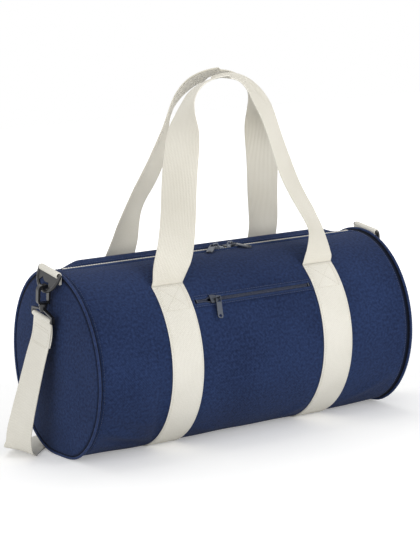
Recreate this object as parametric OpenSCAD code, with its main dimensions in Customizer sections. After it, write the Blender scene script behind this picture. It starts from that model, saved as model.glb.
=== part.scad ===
// Barrel bag: a round-bodied holdall with a double-ended zip along its top, a zipped
// pocket in front, two webbing carry handles and a clip-on webbing shoulder strap.
// Lengths are millimetres and angles are degrees. X runs along the barrel, the pocket
// faces -Y, and the bag stands on Z = 0 with the origin under the middle of the barrel.

/* [Body] */
// Length of the barrel between its end seams
body_length = 524; // [440:4:620]
// Depth of the barrel from front to back
body_depth = 240; // [220:2:270]
// Height of the barrel from the floor to its top
body_height = 259.5; // [240:0.5:290]
// Width of the strip of the barrel that lies flat
base_width = 62; // [40:1:80]
// Thickness of the cloth with its lining
cloth_t = 1.6; // [1:0.1:2.2]
// How far each end bulges at its middle
end_bulge = 6; // [3:0.5:9]
// Width of the piping round each end seam
piping_width = 4.6; // [3.4:0.1:5]
// How far the piping stands out of the barrel
piping_height = 4; // [3:0.1:4.4]

/* [Webbing] */
// Width of the webbing of bands, handles, tabs and strap
web_width = 50; // [44:1:54]
// Thickness of the webbing
web_t = 1.8; // [1.4:0.1:2.2]
// Distance between the middles of the two bands
band_spacing = 254; // [230:2:280]
// How far both bands sit to the right of the middle
band_shift = 3; // [0:1:8]
// Angle of the handle seams, up from the middle of the side
seam_angle = 51; // [45:3:57]

/* [Handles] */
// Length of a handle from its seams to its top
handle_rise = 283; // [240:1:330]
// How far a standing handle leans in over the bag, at most
handle_lean = 10.3; // [4:0.1:14]
// How far the front handle slumps to the right
front_slump = 12; // [0:1:30]
// How far the back handle slumps to the right
back_slump = 30; // [0:1:34]
// How far the legs of a handle bow apart
leg_bow = 8; // [0:1:12]
// Radius of the bend at the top of a handle
grip_radius = 64; // [45:1:75]
// Angle that the webbing of a leg turns, its inner edge away from the bag
leg_twist = 33; // [10:1:40]

/* [Main zip] */
// Length of the rows of teeth
zip_length = 480; // [400:4:484]
// Width of the slot in the barrel for the zip
zip_gap = 18.4; // [18:0.1:20]
// Distance from tooth to tooth in one row
tooth_pitch = 4; // [3.8:0.1:5]
// Height of a tooth through the chain
tooth_height = 2.8; // [2.2:0.1:3.2]
// Length of a tooth, from its tip to the edge of the tape
tooth_length = 4; // [3.6:0.1:4.2]
// How far the tips of the teeth pass the middle of the zip
tooth_lap = 0.9; // [0.6:0.05:1]
// Thickness of the zip tape
tape_t = 1; // [0.6:0.1:1.2]
// Place where the two sliders meet, right of the middle
slider_meet = 19; // [0:1:40]
// Distance between the middles of the two sliders
slider_spacing = 22; // [20:0.5:30]

/* [Sliders and pulls] */
// Length of a slider
slider_length = 17; // [15:0.5:19]
// Thickness of the plates of a slider
plate_t = 1.5; // [1:0.1:1.8]
// Height of the crown over its plate
crown_height = 5.5; // [5.2:0.1:7]
// Width of the crown
crown_width = 1.8; // [1.6:0.1:2]
// Thickness of the bar of the crown
crown_t = 1.3; // [1:0.1:1.5]
// Length of a pull from its cross bar to its end
pull_length = 31; // [26:1:36]
// Width of a pull at its end
pull_width = 10; // [8.5:0.5:12]
// Thickness of a pull
pull_t = 1.6; // [1.2:0.1:1.8]
// Heading of the left pull, from straight to the front
pull_heading_left = 45; // [40:1:50]
// Heading of the right pull, from straight to the front
pull_heading_right = 42; // [40:1:50]
// How far a pull slopes down to the cloth
pull_droop = 11.5; // [10:0.5:12]

/* [Pocket] */
// Length of the zipped pocket mouth in its frame
pocket_width = 194; // [150:2:196]
// Height of the frame round the pocket zip
welt_height = 18; // [16:0.5:22]
// Thickness of the frame round the pocket zip
welt_t = 1.6; // [1:0.1:2]
// Angle of the pocket zip, up from the middle of the side
pocket_angle = 36; // [30:1:40]
// Height of the slot that the pocket zip fills
pocket_gap = 12.8; // [12.7:0.1:13.5]
// Diameter of the pocket zip's coil
coil_d = 2.4; // [2:0.1:2.6]
// Place of the pocket slider, from the middle
pocket_slider_x = -66; // [-78:1:60]
// Length of the pocket pull
pocket_pull_length = 33; // [28:1:38]
// Width of the pocket pull
pocket_pull_width = 8.5; // [8:0.1:10]
// Depth of the pocket bag inside the barrel
pouch_depth = 120; // [80:2:140]
// Thickness of the pocket bag
pouch_t = 6; // [5:0.5:10]

/* [Rings and hooks] */
// Diameter of the bar of a ring
ring_wire = 5; // [4:0.1:5.4]
// How far a ring's bar lies outside the end seam
ring_reach = 8; // [7.6:0.1:12]
// How far a ring's bar lies over the top of the barrel
ring_rise = 2.5; // [1:0.5:6]
// How far the rings sit in front of the zip
ring_front = 13; // [0:1:20]
// How far the front end of a ring's bar hangs down
ring_tilt = 10; // [0:1:14]
// How far a ring leans out from the end
ring_lean = 20; // [15:1:24]
// Thickness of a hook
hook_t = 7; // [6:0.1:8]
// Width of the leg and the claw of a hook
leg_width = 3.6; // [3:0.1:4]
// Height of the eye of a hook
eye_height = 19.5; // [18:0.5:24]
// Play of the ring in the eye towards the bag
inner_play = 3.8; // [3.5:0.1:5]
// Play of the ring in the eye away from the bag
outer_play = 3.6; // [3:0.1:5]
// Diameter of the stem that the hook turns on
stem_d = 5.2; // [4.4:0.1:6]
// Thickness of the loop under a hook
loop_t = 5; // [4.4:0.1:6]

/* [Shoulder strap] */
// How far the strap bows out from each end of the bag
strap_bow = 33; // [20:1:45]
// How far behind the middle of the bag the strap lies
strap_behind = 118; // [112:1:130]
// Height of the strap's middle where its adjuster lies
strap_lift = 3.5; // [3.4:0.1:5]
// Thickness of the plates of the adjuster
adjuster_t = 2.2; // [1.8:0.1:2.3]
// Length of the adjuster along the strap
adjuster_length = 30; // [26:1:36]

/* [Hidden] */

navy = "#2b3852";
navy_dark = "#20293c";
cream = "#ece8dd";
ivory = "#f4f0e6";
black = "#232325";
gunmetal = "#5a5c60";

// Clearance of pieces that run in each other, and of pieces that only lie together
run_gap = 0.35;
lie_gap = 0.3;
seat_gap = 0.1;
over = 1;

// The cross-section of the barrel is an oval cut flat where it meets the floor
outline_sides = 120;
side_step = 360 / outline_sides;
half_depth = body_depth / 2;
flat_share = sqrt(1 - pow(base_width / body_depth, 2));
base_z = web_t;
half_height = (body_height - base_z) / (1 + flat_share);
mid_z = body_height - half_height;
half_length = body_length / 2;

// A point of the oval at an angle from +Y, at a distance outside it, never under the floor
function oval(a, off, base = base_z) = [
    (half_depth + off) * cos(a),
    max(mid_z + (half_height + off) * sin(a), max(base - off, 0))
];
function outline(off, base = base_z) =
    [for (i = [0 : outline_sides - 1]) oval(side_step * i, off, base)];
function stretch(a0, a1, off) = [
    for (i = [0 : (a1 - a0) / side_step]) oval(a0 + side_step * i, off)
];
// The part of a wall between two angles and two distances from the oval
function wall(a0, a1, off0, off1) = concat(
    stretch(a0, a1, off1),
    [for (i = [(a1 - a0) / side_step : -1 : 0]) oval(a0 + side_step * i, off0)]
);
function under_panel(y) =
    mid_z + (half_height - cloth_t) * sqrt(1 - pow(y / (half_depth - cloth_t), 2)) - seat_gap;

module along_x(x0, x1)
    translate([x0, 0, 0]) rotate([90, 0, 90]) linear_extrude(x1 - x0) children();
module along_y(y0, y1)
    translate([0, y1, 0]) rotate([90, 0, 0]) linear_extrude(y1 - y0) children();
module on_side(side)
    if (side < 0) mirror([1, 0, 0]) children(); else children();

// Body

sag_end = half_length + cloth_t / 2 - piping_width / 2 - seat_gap;
sag_runs = [
    [-sag_end, band_x(-1) - web_width / 2 - seat_gap],
    [band_x(-1) + web_width / 2 + seat_gap, band_x(1) - web_width / 2 - seat_gap],
    [band_x(1) + web_width / 2 + seat_gap, sag_end]
];
// The cloth is held up on the bands, and sags to the floor beside and between them
module barrel_panel() color(navy) difference() {
    union() {
        along_x(-half_length, half_length) polygon(outline(0));
        for (run = sag_runs) along_x(run[0], run[1]) polygon(outline(0, 0));
    }
    along_x(-half_length - over, half_length + over) polygon(outline(-cloth_t));
    for (run = sag_runs) along_x(run[0] + cloth_t, run[1] - cloth_t) polygon(outline(-cloth_t, 0));
    translate([-window_half, -zip_gap / 2, mid_z])
        cube([2 * window_half, zip_gap, half_height + over]);
    pocket_frame()
        translate([-pocket_width / 2, -pocket_gap / 2, -4 * cloth_t])
            cube([pocket_width, pocket_gap, 8 * cloth_t]);
}

// The bulge of an end falls away from its middle with the square of the radius
dome_steps = 8;
dome_radius = half_height + over;
module dome(off)
    translate([half_length, 0, mid_z]) rotate([0, 90, 0]) rotate_extrude($fn = 96)
        polygon(concat(
            [[0, -half_depth]],
            [[dome_radius, -half_depth]],
            [for (i = [dome_steps : -1 : 0])
                let (r = dome_radius * i / dome_steps)
                [r, off + cloth_t + end_bulge * (1 - pow(r / dome_radius, 2))]]
        ));
module end_panel(side) color(navy) on_side(side) difference() {
    intersection() {
        along_x(half_length, half_length + cloth_t + end_bulge + over) polygon(outline(0));
        dome(0);
    }
    intersection() {
        along_x(half_length - over, half_length + cloth_t + end_bulge + over)
            polygon(outline(-cloth_t));
        dome(-cloth_t);
    }
}

piping_x = half_length + cloth_t / 2;
module piping(side) color(navy) on_side(side) for (band = [[1, 0.7], [0.6, 1]])
    along_x(piping_x - band[0] * piping_width / 2, piping_x + band[0] * piping_width / 2)
        difference() {
            polygon(outline(band[1] * piping_height));
            polygon(outline(0));
        }

// Zips. The rows of teeth part where the two sliders meet, and lie closed elsewhere.
chain_z = body_height - 2 * seat_gap;
tooth_root = tooth_length - tooth_lap;
part_width = tooth_lap + tooth_root / 2 + seat_gap;
part_flat = slider_spacing / 2 - slider_length / 6;
part_half = part_flat + slider_length * 0.42;
teeth_per_row = floor(zip_length / tooth_pitch);
stop_length = 0.75 * tooth_pitch;
window_half = zip_length / 2 + 1.3 * tooth_pitch;
function parting(u) = abs(u) <= part_flat ? part_width
    : abs(u) >= part_half ? 0
    : part_width * (0.5 + 0.5 * cos(180 * (abs(u) - part_flat) / (part_half - part_flat)));

function tape_parting(u) =
    max(parting(abs(u) - 0.3 * tooth_pitch), parting(abs(u) + 0.3 * tooth_pitch));

// Half widths of a tooth as shares of the pitch, and their places as shares of its length
tooth_shares = [[0.13, 0], [0.225, 0.31], [0.15, 0.5], [0.21, 0.65], [0.21, 1]];
tooth_side = [for (s = tooth_shares)
    [s[0] * tooth_pitch, s[1] * tooth_length - tooth_lap]];
module tooth() linear_extrude(tooth_height, center = true)
    polygon(concat(tooth_side, [for (i = [len(tooth_side) - 1 : -1 : 0])
        [-tooth_side[i][0], tooth_side[i][1]]]));
module teeth_row(side) color(ivory) for (i = [0 : teeth_per_row - 1])
    let (x = tooth_pitch * (i - (teeth_per_row - 1) / 2 + side / 4))
        translate([x, side * parting(x - slider_meet), chain_z])
            scale([1, side, 1]) tooth();

tape_flat = zip_gap / 2 - 2;
tape_tuck = zip_gap / 2 - 2 * seat_gap;
tape_edge = zip_gap / 2 + 8;
tape_half = window_half - seat_gap;
function tape_top() = [
    [tooth_root, chain_z + tape_t / 2],
    [tape_flat, chain_z + tape_t / 2],
    [tape_tuck, under_panel(tape_tuck)],
    [tape_edge, under_panel(tape_edge)]
];
module zip_tape(side) color(navy_dark) scale([1, side, 1]) difference() {
    along_x(-tape_half, tape_half) polygon(concat(
        tape_top(),
        [for (i = [3 : -1 : 0]) tape_top()[i] - [0, tape_t]]
    ));
    translate([slider_meet, 0, chain_z]) linear_extrude(4 * tape_t, center = true)
        polygon(concat(
            [[part_half, 0], [-part_half, 0]],
            [for (i = [-24 : 24])
                [part_half * i / 24, tooth_root + tape_parting(part_half * i / 24)]]
        ));
}

module zip_stops() color(ivory) for (side = [-1, 1])
    translate([side * (zip_length / 2 + stop_length / 2 + seat_gap), 0, chain_z])
        cube([stop_length, 2 * (tooth_root - seat_gap), tooth_height + 2 * run_gap],
            center = true);

// A slider carries its two rows in a channel that widens round the wedge at its nose.
// Its nose points along +X, and its place is the middle of the chain.
channel_rear = tooth_root + run_gap;
channel_nose = channel_rear + part_width;
flange_t = tooth_root / 3;
// Places along a slider as shares of its half length, with the widening there
channel_shares = [[-1, 0], [-0.7, 0], [0.2, 1], [1, 1]];
function channel(wall) = [for (s = channel_shares)
    [s[0] * slider_length / 2, channel_rear + s[1] * (channel_nose - channel_rear) + wall]];
function both_sides(side) = concat(side,
    [for (i = [len(side) - 1 : -1 : 0]) [side[i][0], -side[i][1]]]);
plate_z = tooth_height / 2 + run_gap;
tape_clear = tape_t / 2 + run_gap - seat_gap;
wedge_half = part_width - tooth_lap - run_gap;
wedge_shares = [[0.12, 0], [0.5, 1], [1, 1]];
crown_rear = -0.62 * slider_length / 2;
crown_front = 0.3 * slider_length / 2;
module slider_body() color(gunmetal) {
    for (side = [-1, 1]) scale([1, 1, side]) {
        translate([0, 0, plate_z]) linear_extrude(plate_t) offset(r = flange_t / 2)
            offset(delta = -flange_t / 2) polygon(both_sides(channel(flange_t)));
        translate([0, 0, tape_clear]) linear_extrude(plate_z + plate_t / 2 - tape_clear)
            difference() {
                polygon(both_sides(channel(flange_t)));
                scale([1.1, 1]) polygon(both_sides(channel(0)));
            }
    }
    linear_extrude(2 * plate_z + plate_t, center = true) polygon(both_sides(
        [for (s = wedge_shares) [s[0] * slider_length / 2, s[1] * wedge_half]]));
    translate([0, 0, plate_z + plate_t]) along_y(-crown_width / 2, crown_width / 2)
        crown_outline();
}
module crown_outline() difference() {
    polygon([
        [crown_rear - crown_t / 2, -plate_t / 2],
        [crown_rear - crown_t / 2, crown_height - crown_t],
        [crown_rear + crown_t / 2, crown_height],
        [crown_front - crown_t / 2, crown_height],
        [crown_front + 2 * crown_t, -plate_t / 2]
    ]);
    polygon([
        [crown_rear + crown_t / 2, -plate_t],
        [crown_rear + crown_t / 2, crown_height - crown_t],
        [crown_front - crown_t, crown_height - crown_t],
        [crown_front + crown_t / 2, -plate_t]
    ]);
}

// A pull hangs on the rear bar of the crown by the cross bar of its eye.
// The cross bar is at the origin, along Y, and the pull points along +X.
eye_wall = 1.1 * pull_t / 1.6;
eye_play = 1.6 * pull_t;
eye_half = crown_width / 2 + eye_play;
eye_length = 2 * eye_half + crown_t;
bar_r = pull_t / 2;
bar_back = bar_r + run_gap + 0.71 * (crown_t + crown_width) / 2;
pivot_rise = crown_height - crown_t - bar_r - 3 * lie_gap;
module pull(length, width) color(gunmetal) difference() {
    union() {
        rotate([90, 0, 0])
            cylinder(h = 2 * (eye_half + eye_wall), r = bar_r, center = true, $fn = 32);
        linear_extrude(pull_t, center = true) hull() {
            translate([bar_r / 2, 0])
                square([bar_r, 2 * (eye_half + eye_wall)], center = true);
            translate([eye_length, 0])
                square([2 * bar_r, 2 * (eye_half + eye_wall)], center = true);
            for (side = [-1, 1])
                translate([length - width / 3, side * width / 6]) circle(r = width / 3, $fn = 32);
        }
    }
    translate([bar_r, -eye_half, -pull_t]) cube([eye_length, 2 * eye_half, 2 * pull_t]);
}
module main_pull() difference() {
    pull(pull_length, pull_width);
    color(gunmetal) for (side = [-1, 1])
        translate([pull_length - pull_width / 3.4, side * pull_width / 8, -pull_t])
            cylinder(h = 2 * pull_t, r = pull_width / 8, $fn = 32);
    color(gunmetal) translate([pull_length - pull_width / 3.4, 0, 0])
        cube([pull_width / 4, pull_width / 4, 2 * pull_t], center = true);
}

function slider_x(side) = slider_meet + side * slider_spacing / 2;
function pull_heading(side) = side < 0 ? pull_heading_left : pull_heading_right;
module slider_place(side)
    translate([slider_x(side), 0, chain_z]) rotate([0, 0, side < 0 ? 0 : 180]) children();
// The heading turns from -Y towards the rear of the slider
function rear_leg(side) = [slider_x(side) - side * crown_rear, 0, chain_z + pull_base];
pull_base = plate_z + plate_t + pivot_rise;
function heading_dir(side) = [side * sin(pull_heading(side)), -cos(pull_heading(side)), 0];
module pull_place(side)
    translate(rear_leg(side) - bar_back * heading_dir(side))
        rotate([0, 0, atan2(heading_dir(side)[1], heading_dir(side)[0])])
            rotate([0, pull_droop, 0]) children();

module slider(side) slider_place(side) slider_body();

// Pocket. Its frame lies on the front of the barrel, with Y up the cloth and Z outwards.
pocket_normal = atan2(sin(pocket_angle) / half_height, cos(pocket_angle) / half_depth);
pocket_point = oval(180 - pocket_angle, 0);
pocket_share = coil_d / tooth_height;
pocket_chain = coil_d / 2 + plate_t * pocket_share;
module pocket_frame()
    translate([band_shift, pocket_point[0], pocket_point[1]])
        rotate([90 - pocket_normal, 0, 0]) children();

welt_end = (band_spacing - web_width - pocket_width) / 2 - lie_gap;
module pocket_welt() color(navy) pocket_frame() difference() {
    translate([-pocket_width / 2 - welt_end, -welt_height / 2, 0])
        cube([pocket_width + 2 * welt_end, welt_height, welt_t]);
    translate([-pocket_width / 2, -pocket_gap / 2, -over])
        cube([pocket_width, pocket_gap, welt_t + 2 * over]);
}
// The pocket slider's nose points to the left, where its coil parts
pocket_root = tooth_root * pocket_share;
function pocket_parting(x) = pocket_share * parting_of(-(x - pocket_slider_x) / pocket_share);
function parting_of(u) = u <= -0.42 * slider_length / 2 ? 0
    : u < 0.4 * slider_length / 2
        ? part_width * (0.5 - 0.5 * cos(180 * (u / slider_length * 2 + 0.42) / 0.82))
    : u < slider_length / 2 ? part_width
    : u < slider_length ? part_width * (0.5 + 0.5 * cos(180 * (2 * u / slider_length - 1)))
    : 0;
coil_half = pocket_width / 2 - tooth_pitch;
coil_steps = 96;
function coil_x(i) = -coil_half + 2 * coil_half * i / coil_steps;
function coil_edge(off) = [for (i = [0 : coil_steps])
    [coil_x(i), off + pocket_parting(coil_x(i))]];
module coil_row(side) scale([1, side, 1]) linear_extrude(coil_d, center = true)
    polygon(concat(coil_edge(seat_gap / 2), [for (i = [coil_steps : -1 : 0])
        coil_edge(pocket_root)[i]]));
module pocket_coil() color(navy_dark) pocket_frame()
    translate([0, 0, pocket_lift]) for (side = [-1, 1]) coil_row(side);
pocket_lift = welt_t / 2;
module pocket_tape() color(navy_dark) pocket_frame() translate([0, 0, pocket_lift])
    for (side = [-1, 1]) scale([1, side, 1]) difference() {
        translate([-pocket_width / 2 + seat_gap, pocket_root, -tape_t * pocket_share / 2])
            cube([pocket_width - 2 * seat_gap, pocket_gap / 2 - pocket_root - seat_gap / 2,
                tape_t * pocket_share]);
        linear_extrude(2 * tape_t, center = true) polygon(concat(
            [[coil_half, 0], [-coil_half, 0]], coil_edge(pocket_root)));
    }
module pocket_stops() color(gunmetal) pocket_frame() translate([0, 0, pocket_lift])
    for (side = [-1, 1])
        translate([side * (coil_half + stop_length * 0.4 + seat_gap), 0, 0])
            cube([stop_length * 0.7, 2 * (pocket_root - seat_gap), coil_d * 1.3], center = true);

module pocket_slider() pocket_frame() translate([pocket_slider_x, 0, pocket_lift])
    scale(pocket_share) rotate([0, 0, 180]) slider_body();

// The pocket pull turns about the rear leg of its crown
pocket_pivot = pocket_lift + pocket_share * (plate_z + plate_t + crown_height - crown_t - bar_r)
    - lie_gap;
pocket_bar_back = pocket_share * (bar_r + norm([crown_t, crown_width]) / 2) + lie_gap;
pocket_leg_x = pocket_slider_x - crown_rear * pocket_share;
pocket_heading = 12;
pocket_droop = 6;
module pocket_pull_place() pocket_frame() translate([pocket_leg_x, 0, pocket_pivot])
    rotate([0, 0, -90 - pocket_heading]) translate([-pocket_bar_back, 0, 0])
        rotate([0, pocket_droop, 0]) children();
module pocket_pull() pocket_pull_place() difference() {
    scale([1, pocket_share, pocket_share]) pull(pocket_pull_length, pocket_pull_width / pocket_share);
    color(gunmetal) translate([pocket_pull_length - pocket_pull_width * 0.42, 0, -pull_t])
        cylinder(h = 2 * pull_t, r = pocket_pull_width * 0.26, $fn = 32);
}

pouch_steps = floor(pouch_depth / half_depth / side_step * 180 / PI);
pouch_top = 180 - (floor(pocket_angle / side_step) + 2) * side_step;
module pocket_pouch() color(navy_dark) difference() {
    along_x(band_shift - pocket_width / 2 - 2 * cloth_t, band_shift + pocket_width / 2 + 2 * cloth_t)
        polygon(wall(pouch_top, pouch_top + side_step * pouch_steps,
            -cloth_t - seat_gap - pouch_t, -cloth_t - seat_gap));
    along_x(band_shift - pocket_width / 2, band_shift + pocket_width / 2)
        polygon(wall(pouch_top + side_step, pouch_top + side_step * (pouch_steps - 1),
            -cloth_t - seat_gap - pouch_t + cloth_t / 2, -cloth_t - seat_gap - cloth_t / 2));
    pocket_frame() translate([-pocket_width / 2, -pocket_gap / 2, -pouch_t])
        cube([pocket_width, pocket_gap, 2 * pouch_t]);
}

// Bands and handles

function band_x(side) = band_shift + side * band_spacing / 2;
module band(side) color(cream)
    along_x(band_x(side) - web_width / 2, band_x(side) + web_width / 2)
        polygon(wall(180 - seam_angle, 360 + seam_angle, 0, web_t));

// A webbing swept through sections of four corners each
module swept(sections) polyhedron(
    points = [for (section = sections) each section],
    faces = concat(
        [[0, 1, 2], [0, 2, 3]],
        [for (i = [0 : len(sections) - 2]) for (k = [0 : 3]) let (a = 4 * i, b = (k + 1) % 4)
            each [[a + k, a + 4 + k, a + 4 + b], [a + k, a + 4 + b, a + b]]],
        [let (a = 4 * (len(sections) - 1)) each [[a, a + 2, a + 1], [a, a + 3, a + 2]]]
    )
);
function web_section(middle, across, face) = [for (c = [[-1, -1], [1, -1], [1, 1], [-1, 1]])
    middle + c[0] * web_width / 2 * across + c[1] * web_t / 2 * face];
function unit(v) = v / norm(v);
function ease(t) = t <= 0 ? 0 : t >= 1 ? 1 : 0.5 - 0.5 * cos(180 * t);

// A handle is an arch in its own plane: two straight legs that run into a round top.
// The webbing turns on its way up, from flat on the band to flat under the hand.
root_off = 1.5 * web_t + lie_gap;
root_point = oval(180 - seam_angle, root_off);
lean = min(handle_lean, asin((-root_point[0] - web_width / 2 - lie_gap) / handle_rise));
arch_half = band_spacing / 2;
arch_centre = handle_rise - web_t / 2 - grip_radius;
arch_reach = sqrt(pow(arch_half, 2) + pow(arch_centre, 2));
leg_angle = atan2(arch_centre, -arch_half) - asin(grip_radius / arch_reach);
leg_length = sqrt(pow(arch_reach, 2) - pow(grip_radius, 2));
leg_steps = 12;
arc_steps = 12;
// The middle line of the right half, from the seam to the top
half_arch = concat(
    [for (i = [0 : leg_steps - 1]) let (t = i / leg_steps)
        [arch_half + leg_length * t * cos(leg_angle), leg_length * t * sin(leg_angle)]],
    [for (i = [0 : arc_steps]) let (a = leg_angle - 90 + (180 - leg_angle) * i / arc_steps)
        [grip_radius * cos(a), arch_centre + grip_radius * sin(a)]]
);
// A standing handle slumps to one side, and its legs bow, but its seams stay in place
slump_share = 0.4;
function settle(p, slump) = [
    p[0] + slump * ease(p[1] / handle_rise / slump_share)
        + leg_bow * p[0] / arch_half * sin(180 * min(1, max(0, p[1] / handle_rise))),
    p[1]
];
function arch(slump) = [
    for (p = half_arch) settle(p, slump),
    for (i = [leg_steps + arc_steps - 1 : -1 : 0]) settle([-half_arch[i][0], half_arch[i][1]], slump)
];
// Shares of the rise between which the webbing turns, first in the leg and then at the top
turn_shares = [0.3, 0.6];
function twist(t) = leg_twist * ease(t / turn_shares[0])
    + (90 - leg_twist) * ease((t - turn_shares[1]) / (1 - turn_shares[1]));
function handle_section(line, i) = let (
    last = len(line) - 1,
    d = i == 0 ? [0, 1] : i == last ? [0, -1] : unit(line[i + 1] - line[i - 1]),
    turn = twist(line[i][1] / (handle_rise - web_t / 2)),
    across = [d[1] * cos(turn), -d[0] * cos(turn), -sin(turn)]
) web_section([line[i][0], line[i][1], 0], across, cross([d[0], d[1], 0], across));
module handle(side, slump) color(cream) translate([band_shift, 0, 0])
    rotate([0, 0, side < 0 ? 0 : 180])
        translate([0, root_point[0], root_point[1]]) rotate([90 - lean, 0, 0]) {
            swept([for (i = [0 : 2 * (leg_steps + arc_steps)]) handle_section(arch(slump), i)]);
            for (end = [-1, 1]) translate([end * arch_half, 0, 0]) rotate([0, 90, 0])
                cylinder(h = web_width, r = web_t / 2, center = true, $fn = 24);
        }

// Rings and their tabs. The frame of a ring has its origin at the middle of the bar,
// with Y along the bar and X outwards from the end of the bag.
ring_r = ring_wire / 2;
bow_r = web_width / 2 + lie_gap + ring_r + seat_gap;
tube_r = ring_r + lie_gap + web_t;
module ring_frame(side) on_side(side)
    translate([half_length + ring_reach, -ring_front, body_height + ring_rise])
        rotate([ring_tilt, 0, 0]) children();

// A thin plate fills the bow under the tab, but for the slot in which the hook's nose runs
plate_slot_in = bow_r - ring_r - 1.9 * ring_wire;
plate_slot_turns = [-25, 48];
module bow_sector(r, turns) polygon([
    [0, 0],
    for (i = [0 : 12]) let (a = turns[0] + (turns[1] - turns[0]) * i / 12)
        [r * sin(a), -r * cos(a)]
]);
module ring_plate() rotate([90, 0, 90]) linear_extrude(ring_wire / 3, center = true)
    difference() {
        bow_sector(bow_r, [-90, 90]);
        translate([-bow_r - over, -tube_r - lie_gap]) square(2 * (bow_r + over));
        difference() {
            bow_sector(bow_r - ring_r / 2, plate_slot_turns);
            bow_sector(plate_slot_in, [-90, 90]);
        }
    }
module d_ring(side) color(black) ring_frame(side) rotate([0, -ring_lean, 0]) {
    rotate([90, 0, 0]) cylinder(h = 2 * bow_r, r = ring_r, center = true, $fn = 48);
    rotate([90, 0, 90]) rotate_extrude(angle = -180, $fn = 96)
        translate([bow_r, 0]) circle(r = ring_r, $fn = 32);
    for (end = [-1, 1]) translate([0, end * bow_r, 0]) sphere(r = ring_r, $fn = 48);
    ring_plate();
}
flap_inner = -ring_reach + cloth_t / 2 + piping_width / 2 + seat_gap;
module ring_tab(side) color(cream) ring_frame(side) difference() {
    union() {
        rotate([90, 0, 0]) cylinder(h = web_width, r = tube_r, center = true, $fn = 48);
        translate([flap_inner, -web_width / 2, -3 * tube_r])
            cube([2 * web_t, web_width, 3 * tube_r]);
    }
    rotate([90, 0, 0])
        cylinder(h = web_width + 2 * over, r = ring_r + lie_gap, center = true, $fn = 48);
}

// Hooks. X is outwards, Z is up along the hook, and the ring's bar crosses along Y.
wire_x = bow_r * sin(ring_lean);
wire_z = -bow_r * cos(ring_lean);
eye_in = wire_x - ring_r - inner_play;
eye_out = wire_x + ring_r + outer_play;
eye_top = wire_z + ring_r + lie_gap;
eye_low = eye_top - eye_height;
hook_x = (eye_in + eye_out) / 2;
hook_low = eye_low - leg_width;
hook_round = leg_width * 0.9;
nose_t = 1.6 * leg_width;
stem_low = hook_low - 2.2 * leg_width;
module block(x0, x1, z0, z1, r)
    translate([x0 + r, z0 + r]) offset(r = r) square([x1 - x0 - 2 * r, z1 - z0 - 2 * r]);
gate_wall = leg_width - 2 * lie_gap;
gate_z = eye_low - leg_width / 2;
gate_x = eye_in - leg_width / 2;
gate_high = eye_low + 0.72 * eye_height;
pin_r = leg_width * 0.36;
module hook(side) color(black) ring_frame(side) difference() {
    union() {
        along_y(-hook_t / 2, hook_t / 2) difference() {
            block(eye_in - leg_width, eye_out + leg_width, hook_low, eye_top + nose_t,
                2.3 * hook_round);
            block(eye_in, eye_out, eye_low, eye_top, hook_round);
            translate([eye_in - leg_width - over, eye_low])
                square([leg_width + 1.5 * over, gate_high - eye_low + lie_gap]);
            translate([eye_in - over, eye_low]) square([hook_round + over, hook_round]);
        }
        translate([hook_x, 0, hook_low - leg_width / 2])
            cylinder(h = leg_width, r = stem_d * 1.2, $fn = 48);
        translate([hook_x, 0, stem_low]) cylinder(h = hook_low - stem_low, r = stem_d / 2, $fn = 48);
        translate([hook_x, 0, stem_low - leg_width / 2])
            cylinder(h = leg_width / 2, r = stem_d * 0.75, $fn = 48);
    }
    translate([gate_x, 0, gate_z]) rotate([90, 0, 0])
        cylinder(h = hook_t + 2 * over, r = pin_r + seat_gap / 2, center = true, $fn = 48);
    translate([eye_in - leg_width - over, -hook_t / 4 - lie_gap, gate_z - leg_width / 2 - lie_gap])
        cube([1.4 * leg_width + over, hook_t / 2 + 2 * lie_gap, leg_width + 3 * lie_gap]);
}
module gate(side) color(black) ring_frame(side) {
    translate([gate_x, 0, gate_z]) rotate([90, 0, 0]) {
        cylinder(h = hook_t, r = pin_r, center = true, $fn = 48);
        cylinder(h = hook_t / 2, r = leg_width / 2 - seat_gap, center = true, $fn = 48);
    }
    translate([gate_x - gate_wall / 2, -hook_t / 4, gate_z])
        cube([gate_wall, hook_t / 2, gate_high - gate_z - lie_gap]);
    translate([gate_x - gate_wall / 2, -hook_t / 2, eye_low + leg_width / 2])
        cube([gate_wall, hook_t, gate_high - eye_low - leg_width / 2 - lie_gap]);
}

// The loop under a hook: a barrel for the stem, sloping shoulders and a bar for the webbing
barrel_top = hook_low - leg_width / 2 - lie_gap;
barrel_low = stem_low + lie_gap;
loop_half = web_width / 2 + lie_gap;
loop_wall = leg_width;
loop_bar_r = loop_t * 0.38;
shoulder_z = barrel_low - 1.2 * leg_width;
loop_low = shoulder_z - 1.7 * leg_width;
module strap_loop(side) color(black) ring_frame(side) translate([hook_x, 0, 0]) difference() {
    union() {
        along_x(-loop_t / 2, loop_t / 2) difference() {
            polygon([
                [-stem_d, barrel_top], [stem_d, barrel_top],
                [stem_d, barrel_low + leg_width / 2],
                [loop_half + loop_wall, shoulder_z + loop_wall / 2],
                [loop_half + loop_wall, loop_low - loop_bar_r],
                [-loop_half - loop_wall, loop_low - loop_bar_r],
                [-loop_half - loop_wall, shoulder_z + loop_wall / 2],
                [-stem_d, barrel_low + leg_width / 2]
            ]);
            polygon([
                [-stem_d, barrel_low], [stem_d, barrel_low],
                [loop_half, shoulder_z - loop_wall / 4],
                [loop_half, loop_low - 2 * loop_bar_r],
                [-loop_half, loop_low - 2 * loop_bar_r],
                [-loop_half, shoulder_z - loop_wall / 4]
            ]);
        }
        translate([0, 0, barrel_low]) cylinder(h = barrel_top - barrel_low, r = stem_d, $fn = 48);
        translate([0, 0, loop_low]) rotate([90, 0, 0])
            cylinder(h = 2 * loop_half + loop_wall, r = loop_bar_r, center = true, $fn = 48);
    }
    translate([0, 0, barrel_low - over])
        cylinder(h = barrel_top - barrel_low + 2 * over, r = stem_d / 2 + seat_gap, $fn = 48);
}

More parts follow.
